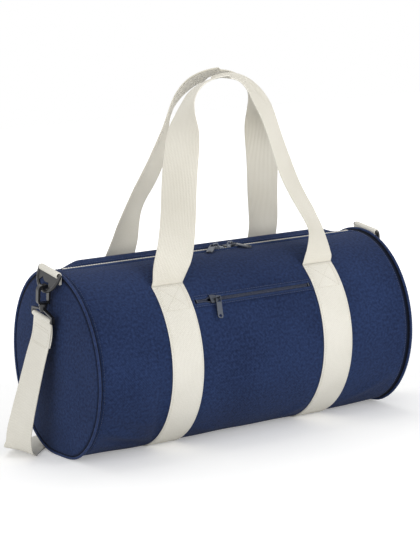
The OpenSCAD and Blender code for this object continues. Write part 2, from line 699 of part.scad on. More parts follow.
// Shoulder strap: a flat webbing swept along a route from the left loop, down to the floor,
// round behind the bag and up to the right loop. The route is given for one half.
tilt_c = cos(ring_tilt);
tilt_s = sin(ring_tilt);
strap_x = half_length + ring_reach + hook_x;
strap_top = [
    strap_x,
    -ring_front - loop_low * tilt_s,
    body_height + ring_rise + loop_low * tilt_c
];
eye_tube_r = loop_bar_r + lie_gap + web_t;
drop = strap_top[2];
// Shares: out by the bow, down by the drop, back towards where the strap lies
hang_shares = [
    [0, 0, 0], [0.06, 0.15, 0.05], [0.3, 0.3, 0.09], [0.6, 0.5, 0.14], [0.85, 0.68, 0.19],
    [1, 0.83, 0.24], [0.97, 0.91, 0.27], [0.85, 0.948, 0.31], [0.6, 0.966, 0.4],
    [0.15, 0.98, 0.55], [-0.6, 0.988, 0.71], [-1.6, 0.993, 0.87], [-2.7, 0.9955, 0.96],
    [-3.8, 0.998, 0.99]
];
// Turn of the webbing about the upright and its tilt, at each point of the route
hang_turns = [
    [0, 1], [0, 1], [0, 1], [0, 1], [2, 1], [4, 1], [8, 1], [14, 1], [22, 0.9],
    [30, 0.7], [38, 0.45], [26, 0.2], [10, 0.08], [2, 0]
];
tilts_share = 1;
strap_back = strap_behind - strap_top[1];
eye_mid_r = eye_tube_r - web_t / 2;
function hang_point(i) = i == 0
    ? [strap_top[0], strap_top[1] + eye_mid_r * tilt_s, strap_top[2] - eye_mid_r * tilt_c]
    : [
        strap_top[0] + hang_shares[i][0] * strap_bow,
        strap_top[1] + hang_shares[i][2] * strap_back,
        strap_top[2] - hang_shares[i][1] * (drop - web_t / 2)
    ];
function hang_width(i) = let (turn = hang_turns[i][0], tilt = tilts_share * hang_turns[i][1] * ring_tilt)
    [-sin(turn) * cos(tilt), -cos(turn) * cos(tilt), -sin(tilt)];
hang_n = len(hang_shares);
flat_x = strap_top[0] + hang_shares[hang_n - 1][0] * strap_bow;
adjuster_run = 3 * adjuster_length;
// Points of the floor run, as shares of its half and of the lift
run_shares = [[0.75, 0.05], [0.62, 0.6], [0.52, 1], [0.3, 1], [0, 1]];
function run_point(s) = [s[0] * flat_x, strap_behind, web_t / 2 + s[1] * (strap_lift - web_t / 2)];
half_route = concat(
    [for (i = [0 : hang_n - 1]) concat(hang_point(i), hang_width(i))],
    [for (s = run_shares) concat(run_point(s), [0, -1, 0])]
);
half_count = len(half_route);
function mirror_x(p) = [-p[0], p[1], p[2], p[3] * -1, p[4], p[5]];
route = concat(
    [for (p = half_route) mirror_x(p)],
    [for (i = [half_count - 2 : -1 : 0]) half_route[i]]
);
route_n = len(route);
// A smooth curve through the route, with steps between each two points
smooth_steps = 3;
function at(i) = route[max(0, min(route_n - 1, i))];
function blend(i, t) = 0.5 * (
    2 * at(i) + t * (at(i + 1) - at(i - 1))
    + t * t * (2 * at(i - 1) - 5 * at(i) + 4 * at(i + 1) - at(i + 2))
    + t * t * t * (3 * at(i) - at(i - 1) - 3 * at(i + 1) + at(i + 2))
);
curve = concat(
    [for (i = [0 : route_n - 2]) for (k = [0 : smooth_steps - 1]) blend(i, k / smooth_steps)],
    [route[route_n - 1]]
);
curve_n = len(curve);
function place(i) = [curve[i][0], curve[i][1], curve[i][2]];
function along(i) = unit(place(min(i + 1, curve_n - 1)) - place(max(i - 1, 0)));
function across(i) = let (w = [curve[i][3], curve[i][4], curve[i][5]])
    unit(w - (w * along(i)) * along(i));
function face(i) = cross(along(i), across(i));

module shoulder_strap() color(cream) {
    difference() {
        union() {
            swept([for (i = [0 : curve_n - 1]) web_section(place(i), across(i), face(i))]);
            for (side = [-1, 1]) ring_frame(side) translate([hook_x, 0, loop_low])
                rotate([90, 0, 0]) cylinder(h = web_width, r = eye_tube_r, center = true, $fn = 32);
        }
        for (side = [-1, 1]) ring_frame(side) translate([hook_x, 0, loop_low])
            rotate([90, 0, 0]) cylinder(h = web_width + 2 * over, r = loop_bar_r + lie_gap,
                center = true, $fn = 32);
    }
}

// The adjuster: end bars over the webbing and a middle bar under it
adjuster_half = web_width / 2 + lie_gap;
adjuster_wall = 2 * adjuster_t;
adjuster_low = strap_lift - web_t / 2 - lie_gap - adjuster_t;
adjuster_top = strap_lift + web_t / 2 + lie_gap + adjuster_t;
adjuster_bar = adjuster_length / 5;
module strap_adjuster() color(black) translate([0, strap_behind, 0]) {
    for (side = [-1, 1]) {
        translate([-adjuster_length / 2, side * (adjuster_half + adjuster_wall / 2)
            - adjuster_wall / 2, adjuster_low])
            cube([adjuster_length, adjuster_wall, adjuster_top - adjuster_low]);
        translate([side * (adjuster_length - adjuster_bar) / 2 - adjuster_bar / 2,
            -adjuster_half - over, adjuster_top - adjuster_t])
            cube([adjuster_bar, 2 * (adjuster_half + over), adjuster_t]);
    }
    translate([-adjuster_bar / 2, -adjuster_half - over, adjuster_low])
        cube([adjuster_bar, 2 * (adjuster_half + over), adjuster_t]);
}

barrel_panel();
end_panel(-1);  // end_panel_left
end_panel(1);  // end_panel_right
piping(-1);  // piping_left
piping(1);  // piping_right
zip_tape(-1);  // zip_tape_front
zip_tape(1);  // zip_tape_back
teeth_row(-1);  // zip_teeth_front
teeth_row(1);  // zip_teeth_back
zip_stops();
slider(-1);  // slider_left
slider(1);  // slider_right
pull_place(-1) main_pull();  // pull_left
pull_place(1) main_pull();  // pull_right
pocket_welt();
pocket_tape();
pocket_coil();
pocket_stops();
pocket_pouch();
pocket_slider();
pocket_pull();
band(-1);  // band_left
band(1);  // band_right
handle(-1, front_slump);  // handle_front
handle(1, -back_slump);  // handle_back
ring_tab(-1);  // ring_tab_left
ring_tab(1);  // ring_tab_right
d_ring(-1);  // d_ring_left
d_ring(1);  // d_ring_right
hook(-1);  // hook_left
hook(1);  // hook_right
gate(-1);  // gate_left
gate(1);  // gate_right
strap_loop(-1);  // strap_loop_left
strap_loop(1);  // strap_loop_right
shoulder_strap();
strap_adjuster();
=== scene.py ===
import math
import bpy
import bmesh
import numpy as np
from mathutils import Matrix, Vector


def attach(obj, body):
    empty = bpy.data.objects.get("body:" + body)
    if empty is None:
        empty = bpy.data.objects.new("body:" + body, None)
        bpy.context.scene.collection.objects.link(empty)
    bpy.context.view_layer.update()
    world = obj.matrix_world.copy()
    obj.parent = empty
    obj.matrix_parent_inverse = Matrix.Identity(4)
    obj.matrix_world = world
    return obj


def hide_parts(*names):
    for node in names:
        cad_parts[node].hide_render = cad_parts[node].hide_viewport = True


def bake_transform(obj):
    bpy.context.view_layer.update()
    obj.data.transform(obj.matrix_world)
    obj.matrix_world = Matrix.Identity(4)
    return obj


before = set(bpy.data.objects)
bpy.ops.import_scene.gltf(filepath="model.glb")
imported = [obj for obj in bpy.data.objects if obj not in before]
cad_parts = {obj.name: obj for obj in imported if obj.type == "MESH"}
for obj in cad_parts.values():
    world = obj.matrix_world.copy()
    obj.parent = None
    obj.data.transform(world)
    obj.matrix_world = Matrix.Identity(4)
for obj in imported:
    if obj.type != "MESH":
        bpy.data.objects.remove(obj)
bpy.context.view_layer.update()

# A barrel bag of navy polyester canvas with cream webbing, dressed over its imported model.
# Shapes are worked out in millimetres and written into the meshes in metres.
mm = 0.001


def say(stage):
    print("barrel bag:", stage)


# The camera of the picture, fitted to the outline of the bag in it
cameraSettings = {
    "place": (-1.4475, -2.2608, 0.6294),
    "yaw": 0.568033,     # radians from +Y towards +X
    "pitch": 0.147847,   # radians below the horizon
    "roll": -0.048394,
    "focalPixels": 1884.39,
    "framePixels": 540,
    "sensor": 36,        # mm
}


def addCamera(s):
    yaw, pitch, roll = s["yaw"], s["pitch"], s["roll"]
    ahead = Vector((math.sin(yaw) * math.cos(pitch), math.cos(yaw) * math.cos(pitch),
                    -math.sin(pitch)))
    level = ahead.cross(Vector((0, 0, 1))).normalized()
    lift = level.cross(ahead)
    right = level * math.cos(roll) + lift * math.sin(roll)
    up = lift * math.cos(roll) - level * math.sin(roll)
    data = bpy.data.cameras.new("camera")
    data.sensor_width = s["sensor"]
    data.lens = s["focalPixels"] * data.sensor_width / s["framePixels"]
    camera = bpy.data.objects.new("camera", data)
    bpy.context.scene.collection.objects.link(camera)
    turn = Matrix((right, up, -ahead)).transposed().to_4x4()
    camera.matrix_world = Matrix.Translation(Vector(s["place"])) @ turn
    bpy.context.scene.camera = camera


addCamera(cameraSettings)
say("camera")


# sRGB hex to linear light: x / 12.92 under 0.04045, else ((x + 0.055) / 1.055) ** 2.4.
def linear(hexColour, share=1.0):
    parts = [int(hexColour[i:i + 2], 16) / 255 for i in (1, 3, 5)]
    return [share * (x / 12.92 if x <= 0.04045 else ((x + 0.055) / 1.055) ** 2.4)
            for x in parts] + [1.0]


# Adds a node, sets what it is told, and links each input that is given a node or a socket.
def addNode(tree, kind, inputs=None, **settings):
    made = tree.nodes.new("ShaderNode" + kind)
    for key, value in settings.items():
        setattr(made, key, value)
    for key, value in (inputs or {}).items():
        if isinstance(value, bpy.types.Node):
            value = value.outputs[0]
        if isinstance(value, bpy.types.NodeSocket):
            tree.links.new(value, made.inputs[key])
        else:
            made.inputs[key].default_value = value
    return made


def startMaterial(name, **shaderInputs):
    material = bpy.data.materials.new(name)
    material.use_nodes = True
    tree = material.node_tree
    tree.nodes.clear()
    shader = addNode(tree, "BsdfPrincipled", shaderInputs)
    addNode(tree, "OutputMaterial", {"Surface": shader})
    return material, tree, shader, addNode(tree, "TexCoord").outputs


# Colours a surface by a ramp between two tones, each (place, colour), and bumps it by a height.
def surface(tree, shader, shade, tones, height=None, depth=0.0, strength=1.0):
    ramp = addNode(tree, "ValToRGB", {"Fac": shade})
    for element, (place, colour) in zip(ramp.color_ramp.elements, tones):
        element.position, element.color = place, colour
    tree.links.new(ramp.outputs[0], shader.inputs["Base Color"])
    if height:
        bump = addNode(tree, "Bump", {"Height": height, "Distance": depth, "Strength": strength})
        tree.links.new(bump.outputs[0], shader.inputs["Normal"])
    return ramp


# sin(2 pi distance / pitch), one wave for each thread or rib.
def threadWave(tree, along, pitch):
    turns = addNode(tree, "Math", {0: along, 1: 2 * math.pi / pitch}, operation="MULTIPLY")
    return addNode(tree, "Math", {0: turns}, operation="SINE")


# The oval of the end seams, and the near-black navy of the painted shade in the creases beside it
seamOval = {"halfDepth": 0.12, "halfHeight": 0.131, "middle": 0.128}  # metres
seamPaintedShadeNavy = "#0a0f1c"


# A mask for painted shade in the creases beside the piping: it rises from none to one between
# two places. A place is |x| along the barrel, or on its ends the oval's share
# sqrt((y / a)^2 + ((z - middle) / b)^2).
def seamPaintedShade(tree, source, along, first, last):
    split = addNode(tree, "SeparateXYZ", {0: source})
    if along:
        place = addNode(tree, "Math", {0: split}, operation="ABSOLUTE")
    else:
        a, b = seamOval["halfDepth"], seamOval["halfHeight"]
        y = addNode(tree, "Math", {0: split.outputs[1], 1: 1 / a}, operation="MULTIPLY")
        z = addNode(tree, "Math", {0: split.outputs[2], 1: 1 / b, 2: -seamOval["middle"] / b},
                    operation="MULTIPLY_ADD")
        z2 = addNode(tree, "Math", {0: z, 1: z}, operation="MULTIPLY")
        both = addNode(tree, "Math", {0: y, 1: y, 2: z2}, operation="MULTIPLY_ADD")
        place = addNode(tree, "Math", {0: both}, operation="SQRT")
    return addNode(tree, "MapRange", {"Value": place, 1: first, 2: last})


# Plain-weave polyester canvas: two crossed thread waves, a slub noise and a soft sheen. With
# seam, it is mixed towards near-black navy as painted shade over the creases beside the piping.
def canvasMaterial(name, light, dark, pitch, roughness, depth, seam=None):
    material, tree, shader, coords = startMaterial(
        name, Roughness=roughness, **{"Sheen Weight": 0.03, "Sheen Roughness": 0.5, "IOR": 1.5,
                                      "Specular IOR Level": 0.12})
    split = addNode(tree, "SeparateXYZ", {0: coords["UV"]})
    warp, weft = (threadWave(tree, split.outputs[k], pitch) for k in (0, 1))
    weave = addNode(tree, "Math", {0: warp, 1: weft}, operation="MULTIPLY")
    slub = addNode(tree, "TexNoise", {"Vector": coords["UV"], "Scale": 260.0, "Detail": 3.0})
    cloud = addNode(tree, "TexNoise", {"Vector": coords["Object"], "Scale": 9.0, "Detail": 2.0})
    faint = addNode(tree, "Math", {0: cloud, 1: 0.35}, operation="MULTIPLY")
    mixed = addNode(tree, "Math", {0: slub, 1: 0.75, 2: faint}, operation="MULTIPLY_ADD")
    # The weave is mixed into the colour: painted shade where the threads dip, painted light on
    # their crowns
    shade = addNode(tree, "Math", {0: weave, 1: 0.18, 2: mixed}, operation="MULTIPLY_ADD")
    height = addNode(tree, "Math", {0: slub, 1: 0.8, 2: weave}, operation="MULTIPLY_ADD")
    ramp = surface(tree, shader, shade, ((0.3, linear(dark)), (0.8, linear(light))),
                   height, depth, 0.6)
    # Painted shade: the colour is mixed towards near-black navy over the creases beside the piping
    if seam:
        crease = seamPaintedShade(tree, coords["Object"], *seam)
        mix = addNode(tree, "Mix", {0: crease, 6: ramp, 7: linear(seamPaintedShadeNavy)}, data_type="RGBA")
        tree.links.new(mix.outputs[2], shader.inputs["Base Color"])
    return material


# Ribbed polyester webbing: cords along its length, crossed by the steps of a twill.
def webbingMaterial(name, light, dark, ribPitch, roughness):
    material, tree, shader, coords = startMaterial(
        name, Roughness=roughness, **{"Sheen Weight": 0.2, "Sheen Roughness": 0.4, "IOR": 1.5,
                                      "Specular IOR Level": 0.3})
    split = addNode(tree, "SeparateXYZ", {0: coords["UV"]})
    ribs = threadWave(tree, split, ribPitch)
    slant = addNode(tree, "Math", {0: split, 1: 0.6, 2: split.outputs[1]},
                    operation="MULTIPLY_ADD")
    twill = threadWave(tree, slant, ribPitch * 1.15)
    height = addNode(tree, "Math", {0: twill, 1: 0.55, 2: ribs}, operation="MULTIPLY_ADD")
    dirt = addNode(tree, "TexNoise", {"Vector": coords["Object"], "Scale": 14.0, "Detail": 3.0})
    fibre = addNode(tree, "TexNoise", {"Vector": coords["UV"], "Scale": 700.0, "Detail": 2.0})
    faint = addNode(tree, "Math", {0: fibre, 1: 0.5}, operation="MULTIPLY")
    mixed = addNode(tree, "Math", {0: dirt, 1: 0.5, 2: faint}, operation="MULTIPLY_ADD")
    # The ribs' height is mixed into the colour: painted shade in their grooves, painted light on
    # their crowns
    shade = addNode(tree, "Math", {0: height, 1: 0.14, 2: mixed}, operation="MULTIPLY_ADD")
    surface(tree, shader, shade, ((0.25, linear(dark)), (0.7, linear(light))), height, 0.00022, 0.7)
    return material


# Injection-moulded plastic: an even colour with the fine spark grain of its mould.
def mouldedMaterial(name, colour, roughness, grain, depth, coat=0.0):
    material, tree, shader, coords = startMaterial(
        name, Roughness=roughness, **{"IOR": 1.49, "Coat Weight": coat, "Coat Roughness": 0.2})
    spark = addNode(tree, "TexNoise",
                    {"Vector": coords["Object"], "Scale": 1 / grain, "Detail": 2.0})
    worn = addNode(tree, "TexNoise", {"Vector": coords["Object"], "Scale": 60.0, "Detail": 3.0})
    surface(tree, shader, worn, ((0.3, linear(colour, 0.88)), (0.7, linear(colour))), spark,
            depth, 0.4)
    return material


# Zinc casting with a dark nickel plate: tumbled, so its gloss is broken by fine scuffs.
def platedMaterial(name, colour, roughness):
    material, tree, shader, coords = startMaterial(
        name, Metallic=1.0, **{"Base Color": linear(colour)})
    scuff = addNode(tree, "TexNoise", {"Vector": coords["Object"], "Scale": 900.0, "Detail": 4.0})
    gloss = addNode(tree, "Math", {0: scuff, 1: 0.18, 2: roughness - 0.09},
                    operation="MULTIPLY_ADD")
    bump = addNode(tree, "Bump", {"Height": scuff, "Distance": 0.00004, "Strength": 0.4})
    tree.links.new(gloss.outputs[0], shader.inputs["Roughness"])
    tree.links.new(bump.outputs[0], shader.inputs["Normal"])
    return material


# Bonded polyester sewing thread: two plies twisted together, drawn as slanting stripes of painted
# shade in the grooves between them.
def threadMaterial(name, colour, pitch):
    material, tree, shader, coords = startMaterial(name, Roughness=0.55, **{"Sheen Weight": 0.2})
    split = addNode(tree, "SeparateXYZ", {0: coords["Object"]})
    slant = split
    for k in (1, 2):
        slant = addNode(tree, "Math", {0: slant, 1: split.outputs[k]}, operation="ADD")
    # Painted shade of the ply grooves: the colour darkens towards 0.7 of itself between the plies
    ply = threadWave(tree, slant, pitch)
    shade = addNode(tree, "Math", {0: ply, 1: 0.4, 2: 0.5}, operation="MULTIPLY_ADD")
    surface(tree, shader, shade, ((0, linear(colour, 0.7)), (1, linear(colour))))
    return material


# Canvas threads are 0.6 mm and webbing cords 1 mm apart. Both are drawn about 2 mm apart,
# because a pixel of the picture is 1.4 mm. The finer weaves, at 0.9 to 1.4 mm, show close up.
# Both navy canvases get painted shade in the creases beside the piping, by |x| or by the oval's
# share
navyCanvas = canvasMaterial("navy polyester canvas", "#2c3e67", "#111b36", 0.0022, 0.85, 0.0003,
                            seam=(True, 0.2555, 0.2585))
endCanvas = canvasMaterial("navy canvas of the ends", "#2c3e67", "#111b36", 0.0022, 0.85, 0.0003,
                           seam=(False, 0.955, 0.985))
# The piping's navy is painted lighter than the panels': a painted highlight along the ridge of its
# cord
pipingTwillPaintedLight = canvasMaterial("navy twill round the piping cord", "#334570", "#19233f", 0.0014,
                             0.7, 0.00012)
zipTapeWeave = canvasMaterial("woven zip tape", "#33456c", "#1b2644", 0.0011, 0.85, 0.0001)
liningTaffeta = canvasMaterial("taffeta lining", "#232e45", "#1a2236", 0.0009, 0.6, 0.00006)
creamWebbing = webbingMaterial("cream ribbed webbing", "#efece2", "#dad6c9", 0.0021, 0.75)
gripWebbing = webbingMaterial("cream webbing of the handles", "#efebdf", "#d8d3c4", 0.0021, 0.75)
toothAcetal = mouldedMaterial("ivory moulded acetal", "#f3efe4", 0.32, 0.0006, 0.00002)
coilNylon = mouldedMaterial("dark nylon coil", "#474e63", 0.4, 0.0009, 0.0001)
hookNylon = mouldedMaterial("black moulded nylon", "#1d1d1f", 0.3, 0.0005, 0.00002, coat=0.15)
darkNickel = platedMaterial("dark nickel plate", "#50545c", 0.32)
creamThread = threadMaterial("cream sewing thread", "#e9e4d6", 0.0006)
navyThread = threadMaterial("navy sewing thread", "#38476a", 0.0006)
say("materials")


# Quads between neighbours of a grid of nu by nv points, wrapping where it is closed.
def gridFaces(nu, nv, closeU=False, closeV=False, flip=False):
    i, j = np.meshgrid(np.arange(nu if closeU else nu - 1), np.arange(nv if closeV else nv - 1),
                       indexing="ij")
    i2, j2 = (i + 1) % nu, (j + 1) % nv
    quads = np.stack([i * nv + j, i2 * nv + j, i2 * nv + j2, i * nv + j2], -1)
    return quads[..., ::-1] if flip else quads


# The pattern place of each corner of each quad, from the grids of u and v.
def quadUv(u, v):
    corner = [np.stack([u[a:u.shape[0] - 1 + a, b:u.shape[1] - 1 + b],
                        v[a:v.shape[0] - 1 + a, b:v.shape[1] - 1 + b]], -1)
              for a, b in ((0, 0), (1, 0), (1, 1), (0, 1))]
    return np.stack(corner, 2)


# Writes points in millimetres and faces into a mesh of its own object, in metres.
def makePiece(name, points, faces, uv=None, material=None, caps=(), smooth=True, outward=False):
    faces = np.asarray(faces).reshape(-1, faces.shape[-1])
    mesh = bpy.data.meshes.new(name)
    mesh.from_pydata((np.asarray(points).reshape(-1, 3) * mm).tolist(), [],
                     faces.tolist() + [list(map(int, cap)) for cap in caps])
    if uv is not None:
        layer = mesh.uv_layers.new(name="cloth")
        flat = np.zeros((len(mesh.loops), 2))
        uv = np.asarray(uv).reshape(-1, 2) * mm
        flat[:len(uv)] = uv
        layer.data.foreach_set("uv", flat.ravel())
    mesh.polygons.foreach_set("use_smooth", np.full(len(mesh.polygons), smooth))
    if material:
        mesh.materials.append(material)
    mesh.update()
    made = bpy.data.objects.new(name, mesh)
    bpy.context.scene.collection.objects.link(made)
    if outward:
        shape = bmesh.new()
        shape.from_mesh(mesh)
        bmesh.ops.remove_doubles(shape, verts=shape.verts, dist=0.00001)
        bmesh.ops.recalc_face_normals(shape, faces=shape.faces)
        shape.to_mesh(mesh)
        shape.free()
    return made


def dress(made, body, slot, *nodes):
    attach(made, body)
    if nodes:
        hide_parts(*nodes)


def thicken(made, thickness, offset=-1):
    wall = made.modifiers.new("wall", "SOLIDIFY")
    wall.thickness = thickness * mm
    wall.offset = offset
    return made


def ease(t):
    t = np.clip(t, 0, 1)
    return t * t * (3 - 2 * t)


# A smooth curve: each span joins two points, with the slope of their neighbours at each.
def curveThrough(points, steps):
    p = np.asarray(points, float)
    p = np.vstack([2 * p[0] - p[1], p, 2 * p[-1] - p[-2]])
    t = np.linspace(0, 1, steps, endpoint=False)[None, :, None]
    a, b, c, d = (p[k:len(p) - 3 + k, None] for k in range(4))
    spans = 0.5 * (2 * b + (c - a) * t + (2 * a - 5 * b + 4 * c - d) * t ** 2
                   + (3 * b - a - 3 * c + d) * t ** 3)
    return np.vstack([spans.reshape(-1, p.shape[1]), p[-2]])


def lengths(path):
    return np.concatenate([[0], np.cumsum(np.linalg.norm(np.diff(path, axis=0), axis=1))])


# The points of a path at the given distances, where far holds the distance of each of its own.
def pointsAt(path, far, at):
    return np.stack([np.interp(at, far, path[:, k]) for k in range(path.shape[1])], -1)


# Evenly spaced points along a path, by its length over its first columns.
def resample(path, count, columns=None):
    far = lengths(path[:, :columns])
    return pointsAt(path, far, np.linspace(0, far[-1], count))


def unit(v):
    return v / np.linalg.norm(v, axis=-1, keepdims=True)


# A closed skin over rings of points, with a flat face at each end. Its pattern is placed by
# across, for the points of a ring, and along, for the rings.
def tube(name, points, material, across=None, along=None, lengthwise=False, smooth=True):
    n, m = points.shape[:2]
    uv = None
    if across is not None:
        grids = np.meshgrid(np.append(across, across[0]), along)
        uv = quadUv(*(grids[::-1] if lengthwise else grids))
    caps = [list(range(m)), list(range((n - 1) * m, n * m))[::-1]]
    return makePiece(name, points, gridFaces(n, m, closeV=True), uv, material, caps, smooth, True)


# The ring round a flat web with rounded selvedges: places across it, and heights over its middle,
# which fall in a quarter circle over the last half thickness.
def webSection(halfWidth, thickness, count=20, least=0.02):
    s = np.concatenate([[-1, -0.997, -0.985], np.linspace(-0.96, 0.96, count), [0.985, 0.997, 1]])
    s = s * halfWidth
    inside = np.clip((halfWidth - np.abs(s)) / (thickness / 2), 0, 1)
    half = thickness / 2 * np.sqrt(1 - (1 - inside) ** 2) + least
    return np.concatenate([s, s[::-1]]), np.concatenate([half, -half[::-1]])


# A web carried along a path. Point = centre + p across + q face, where (p, q) runs round the
# web's section: flat, or bent by the function bend(places across the web) -> p, q, slant.
def ribbon(name, centre, across, face, halfWidth, thickness, material, bend=None):
    ring, side = webSection(halfWidth, thickness)
    p, q = np.tile(ring, (len(centre), 1)), np.tile(side, (len(centre), 1))
    if bend:
        p, q, slant = bend(ring)
        p, q = p - side * np.sin(slant), q + side * np.cos(slant)
    points = centre[:, None] + p[..., None] * across[:, None] + q[..., None] * face[:, None]
    return tube(name, points, material, ring, lengths(centre))


# Rows of lockstitch. Each row is a path and the way out of the cloth along it. A stitch is a
# spindle: five rings of six points whose radius and height swell at its middle.
def stitches(name, rows, material, length=3.0, gap=1.3, radius=0.42):
    swell = np.array([0.35, 0.85, 1.0, 0.85, 0.35]) * radius
    rings, corners = len(swell), 6
    t = np.linspace(0, 1, rings)
    turn = np.linspace(0, 2 * math.pi, corners, endpoint=False)
    allPoints = []
    for path, out in rows:
        far = lengths(path)
        count = max(1, int(far[-1] / (length + gap)))
        starts = (far[-1] - count * (length + gap) + gap) / 2 + np.arange(count) * (length + gap)
        at = starts[:, None] + t * length
        centre, normal = pointsAt(path, far, at), unit(pointsAt(out, far, at))
        ahead = unit(centre[:, -1:] - centre[:, :1]) + 0 * centre
        sideways = unit(np.cross(ahead, normal))
        centre = centre + normal * (0.25 * radius * np.sin(math.pi * t))[None, :, None]
        ring = (np.cos(turn)[:, None] * sideways[:, :, None] + np.sin(turn)[:, None]
                * normal[:, :, None]) * swell[None, :, None, None]
        allPoints.append((centre[:, :, None] + ring).reshape(-1, 3))
    points = np.vstack(allPoints)
    each = rings * corners
    start = np.arange(len(points) // each) * each
    faces = gridFaces(rings, corners, closeV=True).reshape(-1, 4) + start[:, None, None]
    caps = [list(range(k, k + corners)) for k in start]
    caps += [list(range(k + each - corners, k + each))[::-1] for k in start]
    return makePiece(name, points, faces, None, material, caps, outward=True)


barrel = {
    "halfLength": 262.0, "halfDepth": 120.0, "halfHeight": 131.075, "middle": 128.425,
    "cloth": 1.6, "slot": 9.2, "slotEnd": 245.2, "bandLift": 1.8, "bulge": 6.0,
    "bandAt": (-124.0, 130.0), "web": 50.0, "webThick": 1.8, "seamAngle": 51.0,
    "along": 230, "around": 190, "mean": 125.0,
}
sides = ((-1, "Left"), (1, "Right"))
# Soft folds of the cloth: start and end as (x, degrees round from the back), width, height
folds = [
    ((-255, 215), (-165, 236), 9.0, 2.3), ((-250, 226), (-160, 243), 8.0, -1.8),
    ((-240, 205), (-160, 222), 10.0, 1.4), ((-168, 196), (-152, 238), 9.0, -1.6),
    ((-90, 232), (-30, 246), 9.0, 2.0), ((-80, 240), (-10, 250), 9.0, -1.4),
    ((60, 246), (100, 228), 9.0, 1.6), ((165, 236), (240, 214), 10.0, 1.6),
    ((-240, 172), (-170, 160), 14.0, -1.4), ((170, 150), (245, 170), 14.0, -1.2),
    ((-255, 320), (-170, 300), 10.0, 1.8), ((160, 300), (250, 322), 10.0, 1.8),
    ((-80, 300), (0, 290), 11.0, 1.5), ((20, 292), (95, 304), 11.0, 1.4),
    ((-240, 30), (-165, 12), 13.0, -1.3), ((165, 10), (245, 26), 13.0, -1.2),
]
pocket = {"middle": 3.0, "angle": 144.0, "half": 97.0, "gap": 6.4}
foldWork = {"swell": 1.4, "ripple": 0.5, "groove": 1.7, "grooveAt": 256.8, "grooveWidth": 2.3}
# Where the cloth is sewn down: how far off the folds begin, and over what length they rise
sewn = {"end": (0.0, 26.0), "band": (-3.0, 12.0), "zip": (26.0, 45.0), "pocket": (3.0, 16.0),
        "pocketHalf": (101.0, 9.0)}
zipRidge = {"height": 9.0, "dip": 1.2, "behind": 85.6, "before": 94.4, "end": 238.0, "fade": 34.0}


# Sum over the folds of height * exp(-(distance to its line / width)^2), flattened near the zip,
# the pocket, the end seams and the bands, where the cloth is sewn down.
def foldHeight(x, angle):
    mean = barrel["mean"]
    reach = mean * np.radians(angle)
    total = 0 * x
    for (x0, a0), (x1, a1), width, height in folds:
        s0, s1 = mean * math.radians(a0), mean * math.radians(a1)
        dx, ds = x1 - x0, s1 - s0
        t = np.clip(((x - x0) * dx + (reach - s0) * ds) / (dx * dx + ds * ds), 0, 1)
        gap2 = (x - x0 - t * dx) ** 2 + (reach - s0 - t * ds) ** 2
        total = total + (foldWork["swell"] * height * np.exp(-gap2 / width ** 2)
                         * np.sin(math.pi * (0.08 + 0.84 * t)))
    ripple = foldWork["ripple"] * np.sin(x / 23 + reach / 31) * np.sin(x / 41 - reach / 19)
    across, tall = sewn["pocketHalf"]
    fromTop = np.abs((angle - 90 + 180) % 360 - 180) * mean * math.pi / 180
    fromPocket = np.maximum(np.abs(x - pocket["middle"]) - across,
                            np.abs(angle - pocket["angle"]) * mean * math.pi / 180 - tall)
    away = [("band", np.abs(x - bandX) - barrel["web"] / 2) for bandX in barrel["bandAt"]]
    away = [("end", barrel["halfLength"] - np.abs(x)), *away, ("zip", fromTop),
            ("pocket", fromPocket)]
    free = 1.0
    for place, distance in away:
        start, over = sewn[place]
        free = free * ease((distance - start) / over)
    # Behind the zip the cloth stands up in a ridge, and in front of it the hem dips
    behind = mean * np.radians(zipRidge["behind"] - angle)
    behind = np.where(angle < 90, behind, behind + mean * 2 * math.pi)
    ridge = zipRidge["height"] * ease((behind + 3) / 16) * (1 - ease((behind - 14) / 50))
    before = mean * np.radians(angle - zipRidge["before"])
    dip = zipRidge["dip"] * (1 - ease(before / 24)) * (before > -1)
    # The thread of the end seams pulls the cloth into a groove beside the piping
    seam = (np.abs(x) - foldWork["grooveAt"]) / foldWork["grooveWidth"]
    ends = ease((zipRidge["end"] - np.abs(x)) / zipRidge["fade"])
    return (total + ripple) * free + (ridge - dip) * ends - foldWork["groove"] * np.exp(-seam ** 2)


# How the cloth settles on the floor: (from, over) in millimetres, and the roundness of its turn
settle = {"bandReach": (31.0, 5.5), "rim": (256.0, 4.0), "least": 1.2, "more": 40.0,
          "towardsEnd": (170.0, 92.0), "below": (60.0, 50.0)}


# Oval: y = (a + off) cos(angle), z = middle + (b + off) sin(angle), held up by what lies under
# it: the floor, or the band. Off is the distance out of the cloth.
def onBarrel(x, angle, off):
    x, angle, off = np.broadcast_arrays(np.asarray(x, float), angle, off)
    off = off + foldHeight(x, angle)
    turn = np.radians(angle)
    y = (barrel["halfDepth"] + off) * np.cos(turn)
    z = barrel["middle"] + (barrel["halfHeight"] + off) * np.sin(turn)
    (reach, over), (rim, rise) = settle["bandReach"], settle["rim"]
    lift = barrel["bandLift"] * ease((np.abs(x) - rim) / rise)
    for bandX in barrel["bandAt"]:
        lift = lift + barrel["bandLift"] * ease((reach - np.abs(x - bandX)) / over)
    least = np.maximum(np.minimum(lift, barrel["bandLift"]) - off, 0)
    (inner, length), (top, fade) = settle["towardsEnd"], settle["below"]
    soft = settle["least"] + settle["more"] * ease((np.abs(x) - inner) / length)
    z = 0.5 * (z + least + np.sqrt((z - least) ** 2 + soft * ease((top - z) / fade)))
    return np.stack([x, y, z], -1)


# The way out of the oval: (0, cos / a, sin / b), made one long.
def outOf(angle):
    turn = np.radians(angle)
    return unit(np.stack([0 * turn, np.cos(turn) / barrel["halfDepth"],
                          np.sin(turn) / barrel["halfHeight"]], -1))


# Distance round the oval from the back, by summing its short chords.
def reachOf(angle):
    return lengths(onBarrel(np.zeros(len(angle)), angle, 0))


slotAngle = math.degrees(math.asin(barrel["slot"] / barrel["halfDepth"]))
pocketStep = math.degrees(pocket["gap"] / barrel["mean"])

